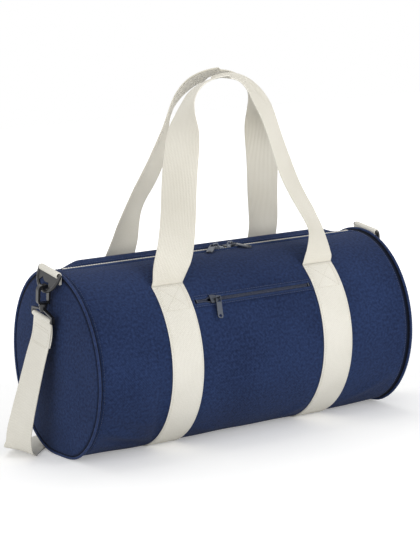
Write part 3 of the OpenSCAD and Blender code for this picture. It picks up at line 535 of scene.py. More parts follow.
barrelX = np.unique(np.concatenate([
    np.linspace(-barrel["halfLength"], barrel["halfLength"], barrel["along"]),
    [-barrel["slotEnd"], barrel["slotEnd"], pocket["middle"] - pocket["half"],
     pocket["middle"] + pocket["half"]]]))
barrelA = np.unique(np.concatenate([
    np.linspace(90 + slotAngle, 450 - slotAngle, barrel["around"]),
    [pocket["angle"] - pocketStep, pocket["angle"] + pocketStep]]))
gridX, gridA = np.meshgrid(barrelX, barrelA, indexing="ij")
shellPoints = onBarrel(gridX, gridA, 0)
quads = gridFaces(len(barrelX), len(barrelA), flip=True)
midX, midA = (barrelX[1:] + barrelX[:-1]) / 2, (barrelA[1:] + barrelA[:-1]) / 2
inWindow = ((np.abs(midX - pocket["middle"]) < pocket["half"])[:, None]
            & (np.abs(midA - pocket["angle"]) < pocketStep)[None, :])
shellUv = quadUv(gridX, np.tile(reachOf(barrelA), (len(barrelX), 1)))[:, :, ::-1]
shell = makePiece("barrelCloth", shellPoints, quads[~inWindow], shellUv[~inWindow], navyCanvas)
thicken(shell, barrel["cloth"])
dress(shell, "bag", "navy_cloth", "barrel_panel")

# The cloth closes over both ends of the zip with a folded patch
for side, word in sides:
    patchX, patchA = np.meshgrid(side * np.linspace(barrel["slotEnd"], barrel["halfLength"], 10),
                                 90 + np.linspace(-slotAngle, slotAngle, 12), indexing="ij")
    patch = makePiece("zipEndPatch" + word, onBarrel(patchX, patchA, 0.3),
                      gridFaces(*patchX.shape, flip=side > 0), quadUv(patchX, patchA * 2.1),
                      navyCanvas)
    dress(thicken(patch, 1.4), "bag", "navy_cloth")


endWork = {"rim": 0.8, "seam": 1.4, "wall": 1.4, "groove": 2.0, "grooveWidth": 3.5, "ripple": 0.5}


# A disc: y and z are the seam's outline times rho, x = seam + bulge (1 - rho^2), with two soft
# dents where the weight of the bag pulls the cloth down.
def endPanel(name, side, node):
    rho = np.concatenate([np.linspace(0, 0.9, 40), np.linspace(0.915, 1, 12)])
    angle = np.linspace(0, 360, 145)[:-1]
    share = np.tile(rho[:, None], (1, len(angle)))
    rim = onBarrel(np.full(len(angle), side * barrel["halfLength"]), angle, endWork["rim"])
    middle = np.array([0, barrel["middle"]])
    yz = middle + share[..., None] * (rim[None, :, 1:] - middle)
    y, z = yz[..., 0], yz[..., 1]
    bulge = barrel["bulge"] * (1 - share ** 2)
    sagging = 1.6 * np.exp(-((y - side * 10) / 60) ** 2 - ((z - 55) / 40) ** 2)
    dent = -1.4 * np.exp(-((y + 12) / 45) ** 2 - ((z - 222) / 22) ** 2)
    ripple = endWork["ripple"] * np.sin(y / 17 + 1.3) * np.sin(z / 23)
    within = (1 - share) * barrel["mean"] / endWork["grooveWidth"]
    groove = endWork["groove"] * np.exp(-within ** 2)
    x = side * (barrel["halfLength"] + endWork["seam"] + bulge
                + (sagging + dent + ripple) * (1 - share ** 4) - groove)
    wrap = np.concatenate([yz, yz[:, :1]], 1)
    made = makePiece(name, np.concatenate([x[..., None], yz], -1),
                     gridFaces(*share.shape, closeV=True), quadUv(wrap[..., 0], wrap[..., 1]),
                     endCanvas, outward=True)
    if made.data.polygons[0].normal.x * side < 0:
        made.data.flip_normals()
    dress(thicken(made, endWork["wall"]), "bag", "navy_cloth", node)


# A cord of radius r run round the seam, centred r off the oval, its cloth pulled into a ridge:
# point = seam + r (cos t, sin t) over x and the way out.
def piping(name, side, node, radius=1.9):
    angle = np.linspace(0, 360, 241)[:-1]
    turn = np.linspace(0, 2 * math.pi, 15)[:-1]
    seam = side * (barrel["halfLength"] + endWork["rim"])
    centre = onBarrel(np.full(len(angle), seam), angle, radius - 0.1)
    centre[:, 2] = np.maximum(centre[:, 2], radius)
    points = centre[:, None] + radius * (
        np.cos(turn)[None, :, None] * outOf(angle)[:, None]
        + np.sin(turn)[None, :, None] * np.array([side, 0, 0]))
    u, v = np.meshgrid(reachOf(np.linspace(0, 360, 241)),
                       np.linspace(0, 2 * math.pi * radius, 15), indexing="ij")
    made = makePiece(name, points, gridFaces(*points.shape[:2], closeU=True, closeV=True),
                     quadUv(u, v), pipingTwillPaintedLight, outward=True)
    dress(made, "bag", "navy_piping", node)


for side, word in sides:
    endPanel("endCloth" + word, side, "end_panel_" + word.lower())
for side, word in sides:
    piping("pipingCord" + word, side, "piping_" + word.lower())
say("barrel and its ends")


zipWork = {"level": 259.3, "root": 3.1, "tape": 1.0, "meet": 19.0, "flat": 8.167, "half": 15.307,
           "part": 2.55, "flatTo": 7.2, "tuck": 9.0, "edge": 17.2, "tapeHalf": 245.1}


# How far a row stands back at x: the whole part between the noses of the sliders, then a cosine
# down to none.
def parting(x):
    u = np.abs(x - zipWork["meet"])
    t = np.clip((u - zipWork["flat"]) / (zipWork["half"] - zipWork["flat"]), 0, 1)
    return zipWork["part"] * (0.5 + 0.5 * np.cos(math.pi * t))


def underPanel(y):
    a, b = barrel["halfDepth"] - barrel["cloth"], barrel["halfHeight"] - barrel["cloth"]
    return barrel["middle"] + b * math.sqrt(1 - (y / a) ** 2) - 0.1


# A woven strip: its inner edge holds the teeth, it steps down under the panel's hem and ends in
# the seam. The section is carried along x, and its inner edge follows the parting.
def zipTape(name, side, node):
    x = np.unique(np.concatenate([np.linspace(-zipWork["tapeHalf"], zipWork["tapeHalf"], 120),
                                  np.linspace(zipWork["meet"] - 17, zipWork["meet"] + 17, 60)]))
    root, flat, cord = zipWork["root"], zipWork["level"] + 0.5, zipWork["level"] + 1.15
    top = [(root, flat), (root + 0.25, cord), (root + 1.3, cord), (root + 1.7, flat), (5.9, flat),
           (zipWork["flatTo"], zipWork["level"] + 0.3), (8.2, underPanel(zipWork["tuck"]) + 0.9),
           (zipWork["tuck"], underPanel(zipWork["tuck"])),
           (zipWork["edge"], underPanel(zipWork["edge"]))]
    ring = np.array(top + [(y, z - zipWork["tape"]) for y, z in top[::-1]])
    y, z = (np.tile(column, (len(x), 1)) for column in ring.T)
    y[:, [0, -1]] += parting(x)[:, None]
    points = np.stack([np.tile(x[:, None], (1, len(ring))), side * y, z], -1)
    made = tube(name, points, zipTapeWeave, ring[:, 0], x, lengthwise=True, smooth=False)
    dress(made, "bag", "zip_tape", node)


zipTape("zipTapeWovenFront", -1, "zip_tape_front")
zipTape("zipTapeWovenBack", 1, "zip_tape_back")

# Topstitching along the slot, in from the folded hem, and along the end seams
hemStitch = {"slotInset": 3.2, "endInset": 7.5, "off": 0.15}
rows = []
for side, word in sides:
    a = np.full(200, 90 + side * (slotAngle + math.degrees(hemStitch["slotInset"] / 121)))
    rows.append((onBarrel(np.linspace(-258, 258, 200), a, hemStitch["off"]), outOf(a)))
    a = np.linspace(95, 445, 500)
    seam = side * (barrel["halfLength"] - hemStitch["endInset"])
    rows.append((onBarrel(np.full(500, seam), a, hemStitch["off"]), outOf(a)))
dress(stitches("hemStitching", rows, navyThread, length=2.6, gap=1.2, radius=0.32), "bag",
      "navy_cloth")
say("main zip")


pocketTurn = math.radians(pocket["angle"])
pocketNormal = math.atan2(math.sin(math.radians(180 - pocket["angle"])) / barrel["halfHeight"],
                          math.cos(math.radians(180 - pocket["angle"])) / barrel["halfDepth"])
pocketMid = np.array([pocket["middle"], barrel["halfDepth"] * math.cos(pocketTurn),
                      barrel["middle"] + barrel["halfHeight"] * math.sin(pocketTurn)])
pocketUp = np.array([0, math.sin(pocketNormal), math.cos(pocketNormal)])
pocketOut = np.array([0, -math.cos(pocketNormal), math.sin(pocketNormal)])


# A point of the pocket's own frame: along x, up the cloth, and out of it.
def onPocket(p):
    p = np.asarray(p, float)
    return (pocketMid + p[..., 0:1] * np.array([1, 0, 0]) + p[..., 1:2] * pocketUp
            + p[..., 2:3] * pocketOut)


# Four quarter circles joined by straight sides, each side cut into even steps.
def roundedRectangle(halfX, halfY, radius, corner=7, straight=24):
    turn = np.linspace(0, math.pi / 2, corner)
    parts = []
    for k, (sx, sy) in enumerate(((1, 1), (-1, 1), (-1, -1), (1, -1))):
        a = turn + k * math.pi / 2
        parts.append(np.stack([sx * (halfX - radius) + radius * np.cos(a),
                               sy * (halfY - radius) + radius * np.sin(a)], 1))
    out = []
    for k in range(4):
        out.append(parts[k])
        start, end = parts[k][-1], parts[(k + 1) % 4][0]
        t = np.linspace(0, 1, straight + 2)[1:-1, None]
        out.append(start + t * (end - start))
    return np.vstack(out)


# The welt is a folded cloth frame: low at its outer seam, full over its fold, rolled in at
# the zip. Each loop is (half length, half height, height over the cloth, corner radius).
weltLoops = [(101.7, 9.0, 0.0, 1.2), (101.7, 9.0, 0.9, 1.2), (101.2, 8.5, 1.5, 1.0),
             (99.4, 7.9, 1.75, 0.8), (97.9, 7.2, 1.6, 0.6), (97.2, 6.6, 1.1, 0.5),
             (97.0, 6.4, 0.1, 0.5)]
flatLoops = np.array([roundedRectangle(a, b, d) for a, b, lift, d in weltLoops])
lifts = np.array([lift for a, b, lift, d in weltLoops])[:, None, None] + 0 * flatLoops[..., :1]
weltGrid = onPocket(np.concatenate([flatLoops, lifts], -1))
wrapped = np.concatenate([flatLoops, flatLoops[:, :1]], 1)
wrapped = np.vstack([wrapped, wrapped[:1]])
welt = makePiece("pocketWeltCloth", weltGrid,
                 gridFaces(*weltGrid.shape[:2], closeU=True, closeV=True),
                 quadUv(wrapped[..., 0], wrapped[..., 1]), navyCanvas, outward=True)
dress(welt, "bag", "navy_cloth", "pocket_welt")

pocketZip = {"lift": 0.8, "root": 2.657, "share": 0.857, "slider": -66.0, "edge": 6.35,
             "nose": 8.5, "part": 2.55, "tapeHalf": 96.9}


# The coil parts over the slider's nose, which points to the left, and closes past it.
def pocketParting(x):
    u = -(x - pocketZip["slider"]) / pocketZip["share"]
    half = pocketZip["nose"]
    rise = 0.5 - 0.5 * np.cos(math.pi * np.clip((u / half + 0.42) / 0.82, 0, 1))
    fall = 0.5 + 0.5 * np.cos(math.pi * np.clip(u / half - 1, 0, 1))
    return pocketZip["share"] * pocketZip["part"] * np.where(u < 0.4 * half, rise, fall)


def pocketTape(name, side):
    x = np.unique(np.concatenate([
        np.linspace(-pocketZip["tapeHalf"], pocketZip["tapeHalf"], 80), np.linspace(-92, -50, 60)]))
    inner = pocketZip["root"] + 0.02 + pocketParting(x)
    cols = np.array([0, 0.5, 1, 1, 0.5, 0])
    lift = pocketZip["lift"] + np.array([0.42, 0.5, 0.42, -0.42, -0.5, -0.42])
    y = inner[:, None] + cols * (pocketZip["edge"] - inner[:, None])
    local = np.stack([np.tile(x[:, None], (1, 6)), side * y, np.tile(lift, (len(x), 1))], -1)
    return tube(name, onPocket(local), zipTapeWeave, cols * 3.7, x, lengthwise=True)


dress(pocketTape("pocketTapeLower", -1), "bag", "zip_tape", "pocket_tape")
dress(pocketTape("pocketTapeUpper", 1), "bag", "zip_tape")

# The coil is a nylon thread wound in flat loops: x runs on while y and z go round an oval
coil = {"pitch": 2.2, "wire": 0.5, "tall": 1.2, "half": 92.8, "steps": 14}


def pocketCoil(name, side):
    turns = int(2 * coil["half"] / coil["pitch"])
    t = np.linspace(0, turns, turns * coil["steps"] + 1)
    x = -coil["half"] + t * coil["pitch"] + (0.5 * coil["pitch"] * (side > 0))
    x = np.minimum(x, coil["half"])
    middle = 0.5 * pocketZip["root"] + pocketParting(x)
    y = side * (middle - (0.5 * pocketZip["root"] - coil["wire"] + 0.1) * np.cos(2 * math.pi * t))
    z = pocketZip["lift"] + (coil["tall"] - coil["wire"]) * np.sin(2 * math.pi * t)
    path = onPocket(np.stack([x, y, z], -1))
    ahead = unit(np.gradient(path, axis=0))
    sideways = unit(np.cross(ahead, np.array([1.0, 0, 0])))
    upward = np.cross(sideways, ahead)
    turn = np.linspace(0, 2 * math.pi, 6)[:-1]
    points = path[:, None] + coil["wire"] * (np.cos(turn)[None, :, None] * sideways[:, None]
                                             + np.sin(turn)[None, :, None] * upward[:, None])
    return tube(name, points, coilNylon)


dress(pocketCoil("pocketCoilLower", -1), "bag", "pocket_coil", "pocket_coil")
dress(pocketCoil("pocketCoilUpper", 1), "bag", "pocket_coil")


# A row of stitches through corners of the pocket's frame, at a height over the cloth.
def flatRow(corners, off, step=2.0):
    corners = np.asarray(corners, float)
    far = lengths(corners)
    xy = pointsAt(corners, far, np.arange(0, far[-1], step))
    path = onPocket(np.column_stack([xy, np.full(len(xy), off)]))
    return path, np.tile(pocketOut, (len(xy), 1))


corners = [(-98.6, -7.7), (98.6, -7.7), (98.6, 7.7), (-98.6, 7.7), (-98.6, -7.7)]
dress(stitches("pocketStitching", [flatRow(corners, 1.75)], navyThread, length=2.6, gap=1.2,
               radius=0.3), "bag", "navy_cloth")

# The pocket bag hangs inside the barrel, a flat pouch of lining
pouch = {"half": 99.0, "above": 4.5, "below": 57.0, "under": 4.6, "full": 2.6, "wall": 0.4}
pouchX, pouchA = np.meshgrid(pocket["middle"] + np.linspace(-pouch["half"], pouch["half"], 30),
                             pocket["angle"] + np.linspace(-pouch["above"], pouch["below"], 40),
                             indexing="ij")
edge = np.minimum(np.minimum((pouch["half"] - np.abs(pouchX - pocket["middle"])) / 12,
                             (pouchA - pouchA[0, 0]) / 5), (pouchA[0, -1] - pouchA) / 5)
full = pouch["full"] * ease(edge)
for label, off, flip, nodes in (("Front", -pouch["under"] + 0 * full, True, ["pocket_pouch"]),
                                ("Rear", -pouch["under"] - 0.1 - full, False, [])):
    piece = makePiece("pocketPouch" + label, onBarrel(pouchX, pouchA, off),
                      gridFaces(*pouchX.shape, flip=flip), quadUv(pouchX, pouchA * 2.2),
                      liningTaffeta)
    dress(thicken(piece, pouch["wall"], 0), "bag", "lining", *nodes)
say("pocket")


# Webbing laid on the barrel from seam to seam under the base: point = barrel(x, angle) at the
# height of the web's section over the cloth.
def band(name, bandX, node):
    ring, side = webSection(barrel["web"] / 2, barrel["webThick"])
    angle = np.linspace(180 - barrel["seamAngle"], 360 + barrel["seamAngle"], 190)
    angles, places = np.meshgrid(angle, ring, indexing="ij")
    points = onBarrel(bandX + places, angles, barrel["webThick"] / 2 + side)
    made = tube(name, points, creamWebbing, ring, reachOf(angle))
    dress(made, "bag", "cream_webbing", node)


for (side, word), bandX in zip(sides, barrel["bandAt"]):
    band("bandWebbing" + word, bandX, "band_" + word.lower())

bandStitch = {"edge": 22.4, "off": 1.9, "boxOff": 1.95, "boxHalf": 19, "boxTurn": 17, "scale": 36}
# A box with a cross inside it holds each end of a handle: its corners as x and a share of its turn
boxCorners = np.array([(-1, 0), (1, 0), (1, 1), (-1, 1), (-1, 0), (1, 1), (1, 0), (-1, 1)], float)
boxCorners[:, 0] *= bandStitch["boxHalf"]
boxFar = lengths(boxCorners * np.array([1, bandStitch["scale"]]))
boxLine = pointsAt(boxCorners, boxFar, np.arange(0, boxFar[-1], 1.0))
seams = []
firstSeam, lastSeam = 180 - barrel["seamAngle"], 360 + barrel["seamAngle"]
for bandX in barrel["bandAt"]:
    for edge in (-bandStitch["edge"], bandStitch["edge"]):
        a = np.linspace(firstSeam + 1, lastSeam - 1, 700)
        seams.append((onBarrel(bandX + edge + 0 * a, a, bandStitch["off"]), outOf(a)))
    for seam, way in ((firstSeam, 1), (lastSeam, -1)):
        a = seam + way * 1.5 + way * bandStitch["boxTurn"] * boxLine[:, 1]
        seams.append((onBarrel(bandX + boxLine[:, 0], a, bandStitch["boxOff"]), outOf(a)))
dress(stitches("bandStitching", seams, creamThread, length=2.8, gap=1.2, radius=0.4), "bag",
      "cream_webbing")

# Each handle's middle line in its own leaning plane: (x, height up the plane), fitted to the
# outline in the picture. Turns are how far the webbing of the left and the right leg has turned,
# in degrees, at shares of the way up. Crease: from, to, place across the web, and depth.
turnShares = [0, 0.15, 0.3, 0.45, 0.55, 0.63, 0.7, 0.77, 0.84, 0.92, 1]
handleFront = {
    "lines": [(-124, -1), (-115.4, 20.9), (-105.3, 42.1), (-98, 64.5), (-92.3, 87.4),
              (-87.4, 110.4), (-82.6, 133.5), (-77.1, 156.4), (-70.8, 179.1), (-64.7, 201.8),
              (-59.3, 224.7), (-49.8, 246.2), (-33.7, 263.2), (-12.5, 273.1), (10.7, 277.1),
              (34, 275.2), (54.5, 263.8), (69.1, 245.5), (79.5, 224.4), (85.4, 201.6),
              (90.4, 178.6), (95.4, 155.6), (101.1, 132.7), (108.9, 110.5), (118.5, 89),
              (128.6, 67.7), (135.5, 45.3), (135.6, 21.8), (130, -1)],
    "turns": ([0, 30, 43, 42, 42, 50, 75, 100, 98, 94, 85],
              [0, 34, 33, 29, 32, 33, 31, 30, 40, 59, 85]),
    "side": -1, "crease": (0.7, 0.93, 7.0, 2.2),
}
handleBack = {
    "lines": [(-124, -1), (-112.5, 20.2), (-104, 42.8), (-98.7, 66.4), (-91.8, 89.6),
              (-81.8, 111.5), (-69.4, 132.3), (-58.2, 153.7), (-50.1, 176.5), (-44.2, 199.9),
              (-38.3, 223.4), (-28.9, 245.5), (-12.9, 263.5), (8.5, 274.6), (32.1, 279.8),
              (56.2, 279), (79, 271.6), (97.9, 256.6), (112.2, 237.2), (120.1, 214.4),
              (124.4, 190.6), (127.6, 166.7), (130, 142.6), (131.9, 118.5), (133.8, 94.4),
              (136.4, 70.4), (138.5, 46.3), (136.6, 22.2), (130, -1)],
    "turns": ([0, 10, 31, 27, 31, 42, 52, 50, 44, 48, 58],
              [0, 3, 8, 14, 32, 64, 98, 106, 98, 80, 58]),
    "side": 1, "crease": (0.66, 0.9, -8.0, 1.6),
}
hingeSpot = (77.41, 232.62)  # y, z
leanIn = math.radians(10.3)
handleWeb = {"cup": 1.2, "creaseWidth": 4.0, "square": 0.16, "sink": 1.9, "below": 3, "above": 16}


# The turn at each share, its corners rounded by a running mean over 0.09 of a leg.
def smoothTurn(share, turns):
    spread = [np.interp(np.clip(share + k, 0, 1 - abs(k) / 2), turnShares, turns)
              for k in np.linspace(-0.045, 0.045, 7)]
    return np.mean(spread, axis=0) * ease(share / 0.06)


# Webbing carried along the arch. Its middle line lies in a plane that leans in. Going up a leg the
# web turns about its length, so that its inner edge comes forward, and on to the top, where it
# lies flat over the hand. Its section is cupped, and creased on one side of the top.
def handle(name, settings, node):
    side = settings["side"]
    line = resample(curveThrough(settings["lines"], 24), 260)
    up = np.array([0, -side * math.sin(leanIn), math.cos(leanIn)])
    front = np.array([0, side * math.cos(leanIn), math.sin(leanIn)])
    root = np.array([0, side * hingeSpot[0], hingeSpot[1]])
    far = lengths(line)
    share = np.minimum(far, far[-1] - far) / (far[-1] / 2)
    onRight = far > far[-1] / 2
    tangent = unit(np.gradient(line, axis=0))
    outer = np.stack([-tangent[:, 1], tangent[:, 0]], 1)
    # Near the seams the web is square to the leg's start, so that it meets its band
    free = ease(share / handleWeb["square"])[:, None]
    square = np.sign(line[:, 0:1] - np.mean(barrel["bandAt"])) * np.array([[1.0, 0.0]])
    outer = unit(outer * free + square * (1 - free))
    outer3 = np.stack([outer[:, 0], outer[:, 1] * up[1], outer[:, 1] * up[2]], 1)
    left, right = (smoothTurn(share, turns) for turns in settings["turns"])
    twist = np.radians(np.where(onRight, right, left))[:, None]
    across = outer3 * np.cos(twist) - front * np.sin(twist)
    face = front * np.cos(twist) + outer3 * np.sin(twist)
    centre = root + np.stack([line[:, 0], line[:, 1] * up[1], line[:, 1] * up[2]], 1)
    # The root runs down onto the band's own end
    sink = (1 - ease(np.minimum(line[:, 1] + 1, 60) / 9))[:, None]
    centre = centre - front * handleWeb["sink"] * sink
    cup = handleWeb["cup"] * np.sin(math.pi * np.clip(share * 0.9 - 0.05, 0, 1))[:, None]
    first, last, place, depth = settings["crease"]
    within = np.clip((share - first) / (last - first), 0, 1)
    crease = (depth * onRight * np.sin(math.pi * within) ** 2)[:, None]
    half = barrel["web"] / 2

    # q = cup (1 - (s / half)^2) - crease exp(-((s - place) / width)^2), and its slope
    def bend(ring):
        t = (ring - place) / handleWeb["creaseWidth"]
        dip = np.exp(-t ** 2)
        slope = -2 * cup * ring / half ** 2 + crease * dip * 2 * t / handleWeb["creaseWidth"]
        return (np.tile(ring, (len(share), 1)), cup * (1 - (ring / half) ** 2) - crease * dip,
                np.arctan(slope))

    made = ribbon(name, centre, across, face, half, barrel["webThick"], gripWebbing, bend)
    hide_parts(node)
    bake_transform(made)


handle("handleWebbingFront", handleFront, "handle_front")
handle("handleWebbingBack", handleBack, "handle_back")
say("bands and handles")


ringSpot = {"x": 270.0, "y": -13.0, "z": 262.0, "tilt": math.radians(10)}


# The ring's frame: x outwards, y along its bar, z up the hook, tilted about x.
def ringFrame(side, p):
    p = np.asarray(p, float)
    c, s = math.cos(ringSpot["tilt"]), math.sin(ringSpot["tilt"])
    return np.stack([side * (ringSpot["x"] + p[..., 0]),
                     ringSpot["y"] + p[..., 1] * c - p[..., 2] * s,
                     ringSpot["z"] + p[..., 1] * s + p[..., 2] * c], -1)


# A web folded along a line in the x, z plane of the ring's frame and carried across its width.
def foldedWeb(name, side, line, body, nodes=(), x=0.0, z=0.0):
    ring, thick = webSection(barrel["web"] / 2, 1.7, 22)
    ahead = np.gradient(line, axis=0)
    out = unit(np.stack([-ahead[:, 1], ahead[:, 0]], 1))
    local = np.stack([x + line[:, 0:1] + out[:, 0:1] * thick, np.tile(ring, (len(line), 1)),
                      z + line[:, 1:2] + out[:, 1:2] * thick], -1)
    made = tube(name, ringFrame(side, local), creamWebbing, ring, lengths(line))
    dress(made, body, "cream_webbing", *nodes)


# A circle round the bar, from one angle to the other in degrees.
def roundBar(radius, first, last, count):
    turn = np.linspace(math.radians(first), math.radians(last), count)
    return np.stack([radius * np.cos(turn), radius * np.sin(turn)], 1)


# The tabs: up the seam, round the bar, and back down on themselves
tab = {"radius": 3.65, "back": -4.05, "low": -13.2}
back, low = tab["back"], tab["low"]
tabLine = [(back + 0.1, low), (back + 0.1, -8), (back + 0.25, -3.5),
           *roundBar(tab["radius"], 205, -120, 34),
           (-2.6, -3.9), (back + 1.9, -6.2), (back + 1.9, low)]
tabRows = []
for side, word in sides:
    foldedWeb("ringTabWebbing" + word, side, resample(curveThrough(tabLine, 6), 90), "bag",
              ["ring_tab_" + word.lower()])
    y = np.linspace(-22, 22, 40)
    for z in (-8.2, -11.6):
        path = ringFrame(side, np.stack([0 * y - 1.2, y, 0 * y + z], 1))
        tabRows.append((path, np.tile([side, 0.0, 0.0], (40, 1))))
dress(stitches("tabStitching", tabRows, creamThread, radius=0.4), "bag", "cream_webbing")

# The strap's route in shares of its bow, drop and run back, and with each the turn of the web in
# degrees and its share of the ring's tilt. It turns more softly at the floor than the source's.
strap = {"bow": 33.0, "behind": 118.0, "lift": 3.5, "web": 1.8, "loopBar": 5 * 0.38}
hangPlaces = [
    (0, 0, 0, 0, 1), (0.06, 0.15, 0.05, 0, 1), (0.3, 0.3, 0.09, 2, 1), (0.6, 0.5, 0.14, 5, 1),
    (0.85, 0.68, 0.19, 9, 1), (1, 0.83, 0.24, 14, 0.9), (0.97, 0.91, 0.27, 18, 0.8),
    (0.85, 0.948, 0.31, 21, 0.65), (0.6, 0.966, 0.4, 24, 0.5), (0.15, 0.98, 0.55, 27, 0.4),
    (-0.6, 0.988, 0.71, 28, 0.3), (-1.6, 0.993, 0.87, 22, 0.15), (-2.7, 0.9955, 0.96, 10, 0.08),
    (-3.8, 0.998, 0.99, 2, 0),
]
runShares = [(0.75, 0.05), (0.62, 0.6), (0.52, 1), (0.3, 1), (0, 1)]
# Down the hook from the ring's bar to the bar of the strap's loop, in the ring's frame
hookX = 9.442
eyeLow = -27.9 * math.cos(math.radians(20)) + 2.8 - 19.5
stemLow = eyeLow - 3.6 - 2.2 * 3.6
loopLow = stemLow + 0.3 - 1.2 * 3.6 - 1.7 * 3.6
tiltC, tiltS = math.cos(ringSpot["tilt"]), math.sin(ringSpot["tilt"])
strapTop = np.array([ringSpot["x"] + hookX, ringSpot["y"] - loopLow * tiltS,
                     ringSpot["z"] + loopLow * tiltC])
eyeMid = strap["loopBar"] + 0.3 + strap["web"] / 2


def strapRoute():
    half = []
    for bow, drop, back, turn, tilt in hangPlaces:
        place = (strapTop[0] + bow * strap["bow"],
                 strapTop[1] + back * (strap["behind"] - strapTop[1]),
                 strapTop[2] - drop * (strapTop[2] - strap["web"] / 2))
        if not half:
            place = (strapTop[0], strapTop[1] + eyeMid * tiltS, strapTop[2] - eyeMid * tiltC)
        t, lean = math.radians(turn), ringSpot["tilt"] * tilt
        half.append(place + (-math.sin(t) * math.cos(lean), -math.cos(t) * math.cos(lean),
                             -math.sin(lean)))
    flatX = strapTop[0] + hangPlaces[-1][0] * strap["bow"]
    for across, rise in runShares:
        half.append((across * flatX, strap["behind"],
                     strap["web"] / 2 + rise * (strap["lift"] - strap["web"] / 2), 0, -1, 0))
    half = np.array(half)
    return np.vstack([half * np.array([-1, 1, 1, -1, 1, 1]), half[-2::-1]])


route = resample(curveThrough(strapRoute(), 20), 520, 3)
centre = route[:, :3]
ahead = unit(np.gradient(centre, axis=0))
across = unit(route[:, 3:] - (route[:, 3:] * ahead).sum(1)[:, None] * ahead)
face = np.cross(ahead, across)
strapPiece = ribbon("strapWebbing", centre, across, face, barrel["web"] / 2, 1.75, creamWebbing)
dress(strapPiece, "strap", "cream_webbing", "shoulder_strap")


# The strap's end: round the loop's bar, then down the strap's inner side as a sewn tail.
def strapEnd(name, side, tailEnd=44, tailStart=9, under=1.95):
    run = centre if side < 0 else centre[::-1]
    run = run[lengths(run) < tailEnd]
    local = np.stack([side * run[:, 0] - ringSpot["x"] - hookX,
                      (run[:, 2] - strapTop[2]) * tiltC - (run[:, 1] - strapTop[1]) * tiltS], 1)
    tail = local[lengths(local) > tailStart] - np.array([under, 0])
    line = np.vstack([roundBar(eyeMid, -80, 262, 36), tail[::6]])
    foldedWeb(name, side, resample(curveThrough(line, 5), 120), "strap", x=hookX, z=loopLow)


for side, word in sides:
    strapEnd("strapEnd" + word, side)

# Two double rows across each end of the strap, and one along each edge between them
strapStitch = {"rows": (11, 34), "pair": 3, "last": 38, "edge": 21, "off": 1.0}
strapRows = []
far = lengths(centre)
outward = face * np.sign(face[:, 0] * centre[:, 0])[:, None]
y = np.linspace(-strapStitch["edge"], strapStitch["edge"], 40)
for side, word in sides:
    at = far if side < 0 else far[-1] - far
    for start in strapStitch["rows"]:
        for hop in (0, strapStitch["pair"]):
            k = int(np.abs(at - start - hop).argmin())
            path = centre[k] + y[:, None] * across[k] + outward[k] * strapStitch["off"]
            strapRows.append((path, np.tile(outward[k], (40, 1))))
    pick = (at > strapStitch["rows"][0]) & (at < strapStitch["last"])
    for edge in (-strapStitch["edge"], strapStitch["edge"]):
        path = centre[pick] + edge * across[pick] + outward[pick] * strapStitch["off"]
        strapRows.append((path, outward[pick]))
dress(stitches("strapStitching", strapRows, creamThread, radius=0.4), "strap", "cream_webbing")
say("tabs and strap")


finishes = [
    (toothAcetal, ("zip_teeth_front", "zip_teeth_back", "zip_stops")),
    (darkNickel, ("slider_left", "slider_right", "pull_left", "pull_right", "pocket_stops",
                  "pocket_slider", "pocket_pull")),
    (hookNylon, ("d_ring_left", "d_ring_right", "hook_left", "hook_right", "gate_left",
                 "gate_right", "strap_loop_left", "strap_loop_right", "strap_adjuster")),
]
for finish, nodeNames in finishes:
    for nodeName in nodeNames:
        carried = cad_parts[nodeName]
        carried.data.materials.clear()
        carried.data.materials.append(finish)
say("carried-over nodes")


studio = {
    "world": 0.56, "floorHalf": 6000.0, "floorLevel": -0.2, "floorGrey": 0.88,
    "glow": (0.28, 0.72), "glowFrom": (0.5, 1.6),
    "lamps": [  # name, place, looks at, size, watts
        ("key", (1.1, -2.3, 0.8), (0, 0, 0.3), 1.6, 28),
        ("left", (-2.5, -0.9, 0.8), (0, 0, 0.35), 1.6, 19),
        ("top", (0.2, 0.9, 2.6), (0, 0, 0.1), 2.0, 18),
    ],
}
plainWhite = (1, 1, 1, 1)

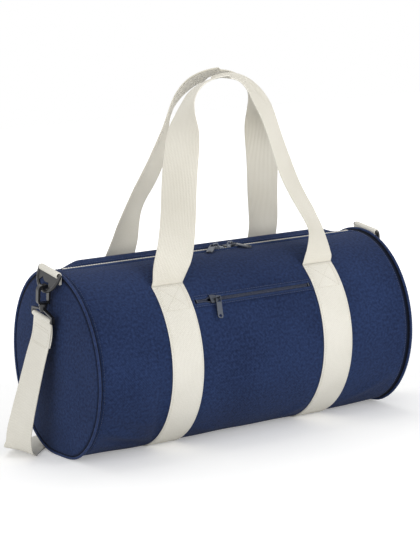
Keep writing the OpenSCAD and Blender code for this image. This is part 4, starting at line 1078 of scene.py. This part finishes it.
for name, place, aim, size, watts in studio["lamps"]:
    data = bpy.data.lights.new(name, "AREA")
    data.energy, data.size = watts, size
    lamp = bpy.data.objects.new(name, data)
    lamp.location = place
    lamp.rotation_euler = (Vector(aim) - Vector(place)).to_track_quat("-Z", "Y").to_euler()
    bpy.context.scene.collection.objects.link(lamp)


# One where a ray comes straight from the camera, or through gloss or glass.
def seenDirectly(tree):
    path = addNode(tree, "LightPath").outputs
    seen = path["Is Camera Ray"]
    for kind in ("Is Glossy Ray", "Is Transmission Ray"):
        seen = addNode(tree, "Math", {0: seen, 1: path[kind]}, operation="MAXIMUM")
    return seen


world = bpy.data.worlds.new("studio")
bpy.context.scene.world = world
world.use_nodes = True
tree = world.node_tree
tree.nodes.clear()
soft, white = (addNode(tree, "Background", {"Color": plainWhite, "Strength": strength})
               for strength in (studio["world"], 1.0))
mix = addNode(tree, "MixShader", {0: seenDirectly(tree), 1: soft, 2: white})
addNode(tree, "OutputWorld", {"Surface": mix})

# The paper glows more away from the bag, so that only the shadow near it shows
floorMaterial = bpy.data.materials.new("white paper floor")
floorMaterial.use_nodes = True
tree = floorMaterial.node_tree
tree.nodes.clear()
paper = addNode(tree, "BsdfDiffuse", {"Color": (studio["floorGrey"],) * 3 + (1,)})
coords = addNode(tree, "TexCoord")
away = addNode(tree, "VectorMath", {0: coords.outputs["Object"]}, operation="LENGTH")
strength = addNode(tree, "MapRange", {
    "Value": away.outputs["Value"], 1: studio["glowFrom"][0], 2: studio["glowFrom"][1],
    3: studio["glow"][0], 4: studio["glow"][1]})
glow = addNode(tree, "Emission", {"Color": plainWhite, "Strength": strength})
both = addNode(tree, "AddShader", {0: paper, 1: glow})
mix = addNode(tree, "MixShader", {0: seenDirectly(tree), 1: paper, 2: both})
addNode(tree, "OutputMaterial", {"Surface": mix})
h = studio["floorHalf"]
floorPoints = [(x, y, studio["floorLevel"]) for x, y in ((-h, -h), (h, -h), (h, h), (-h, h))]
floor = makePiece("floor", floorPoints, np.array([[0, 1, 2, 3]]), None, floorMaterial)
bpy.context.scene.view_settings.view_transform = "Standard"
say("studio")
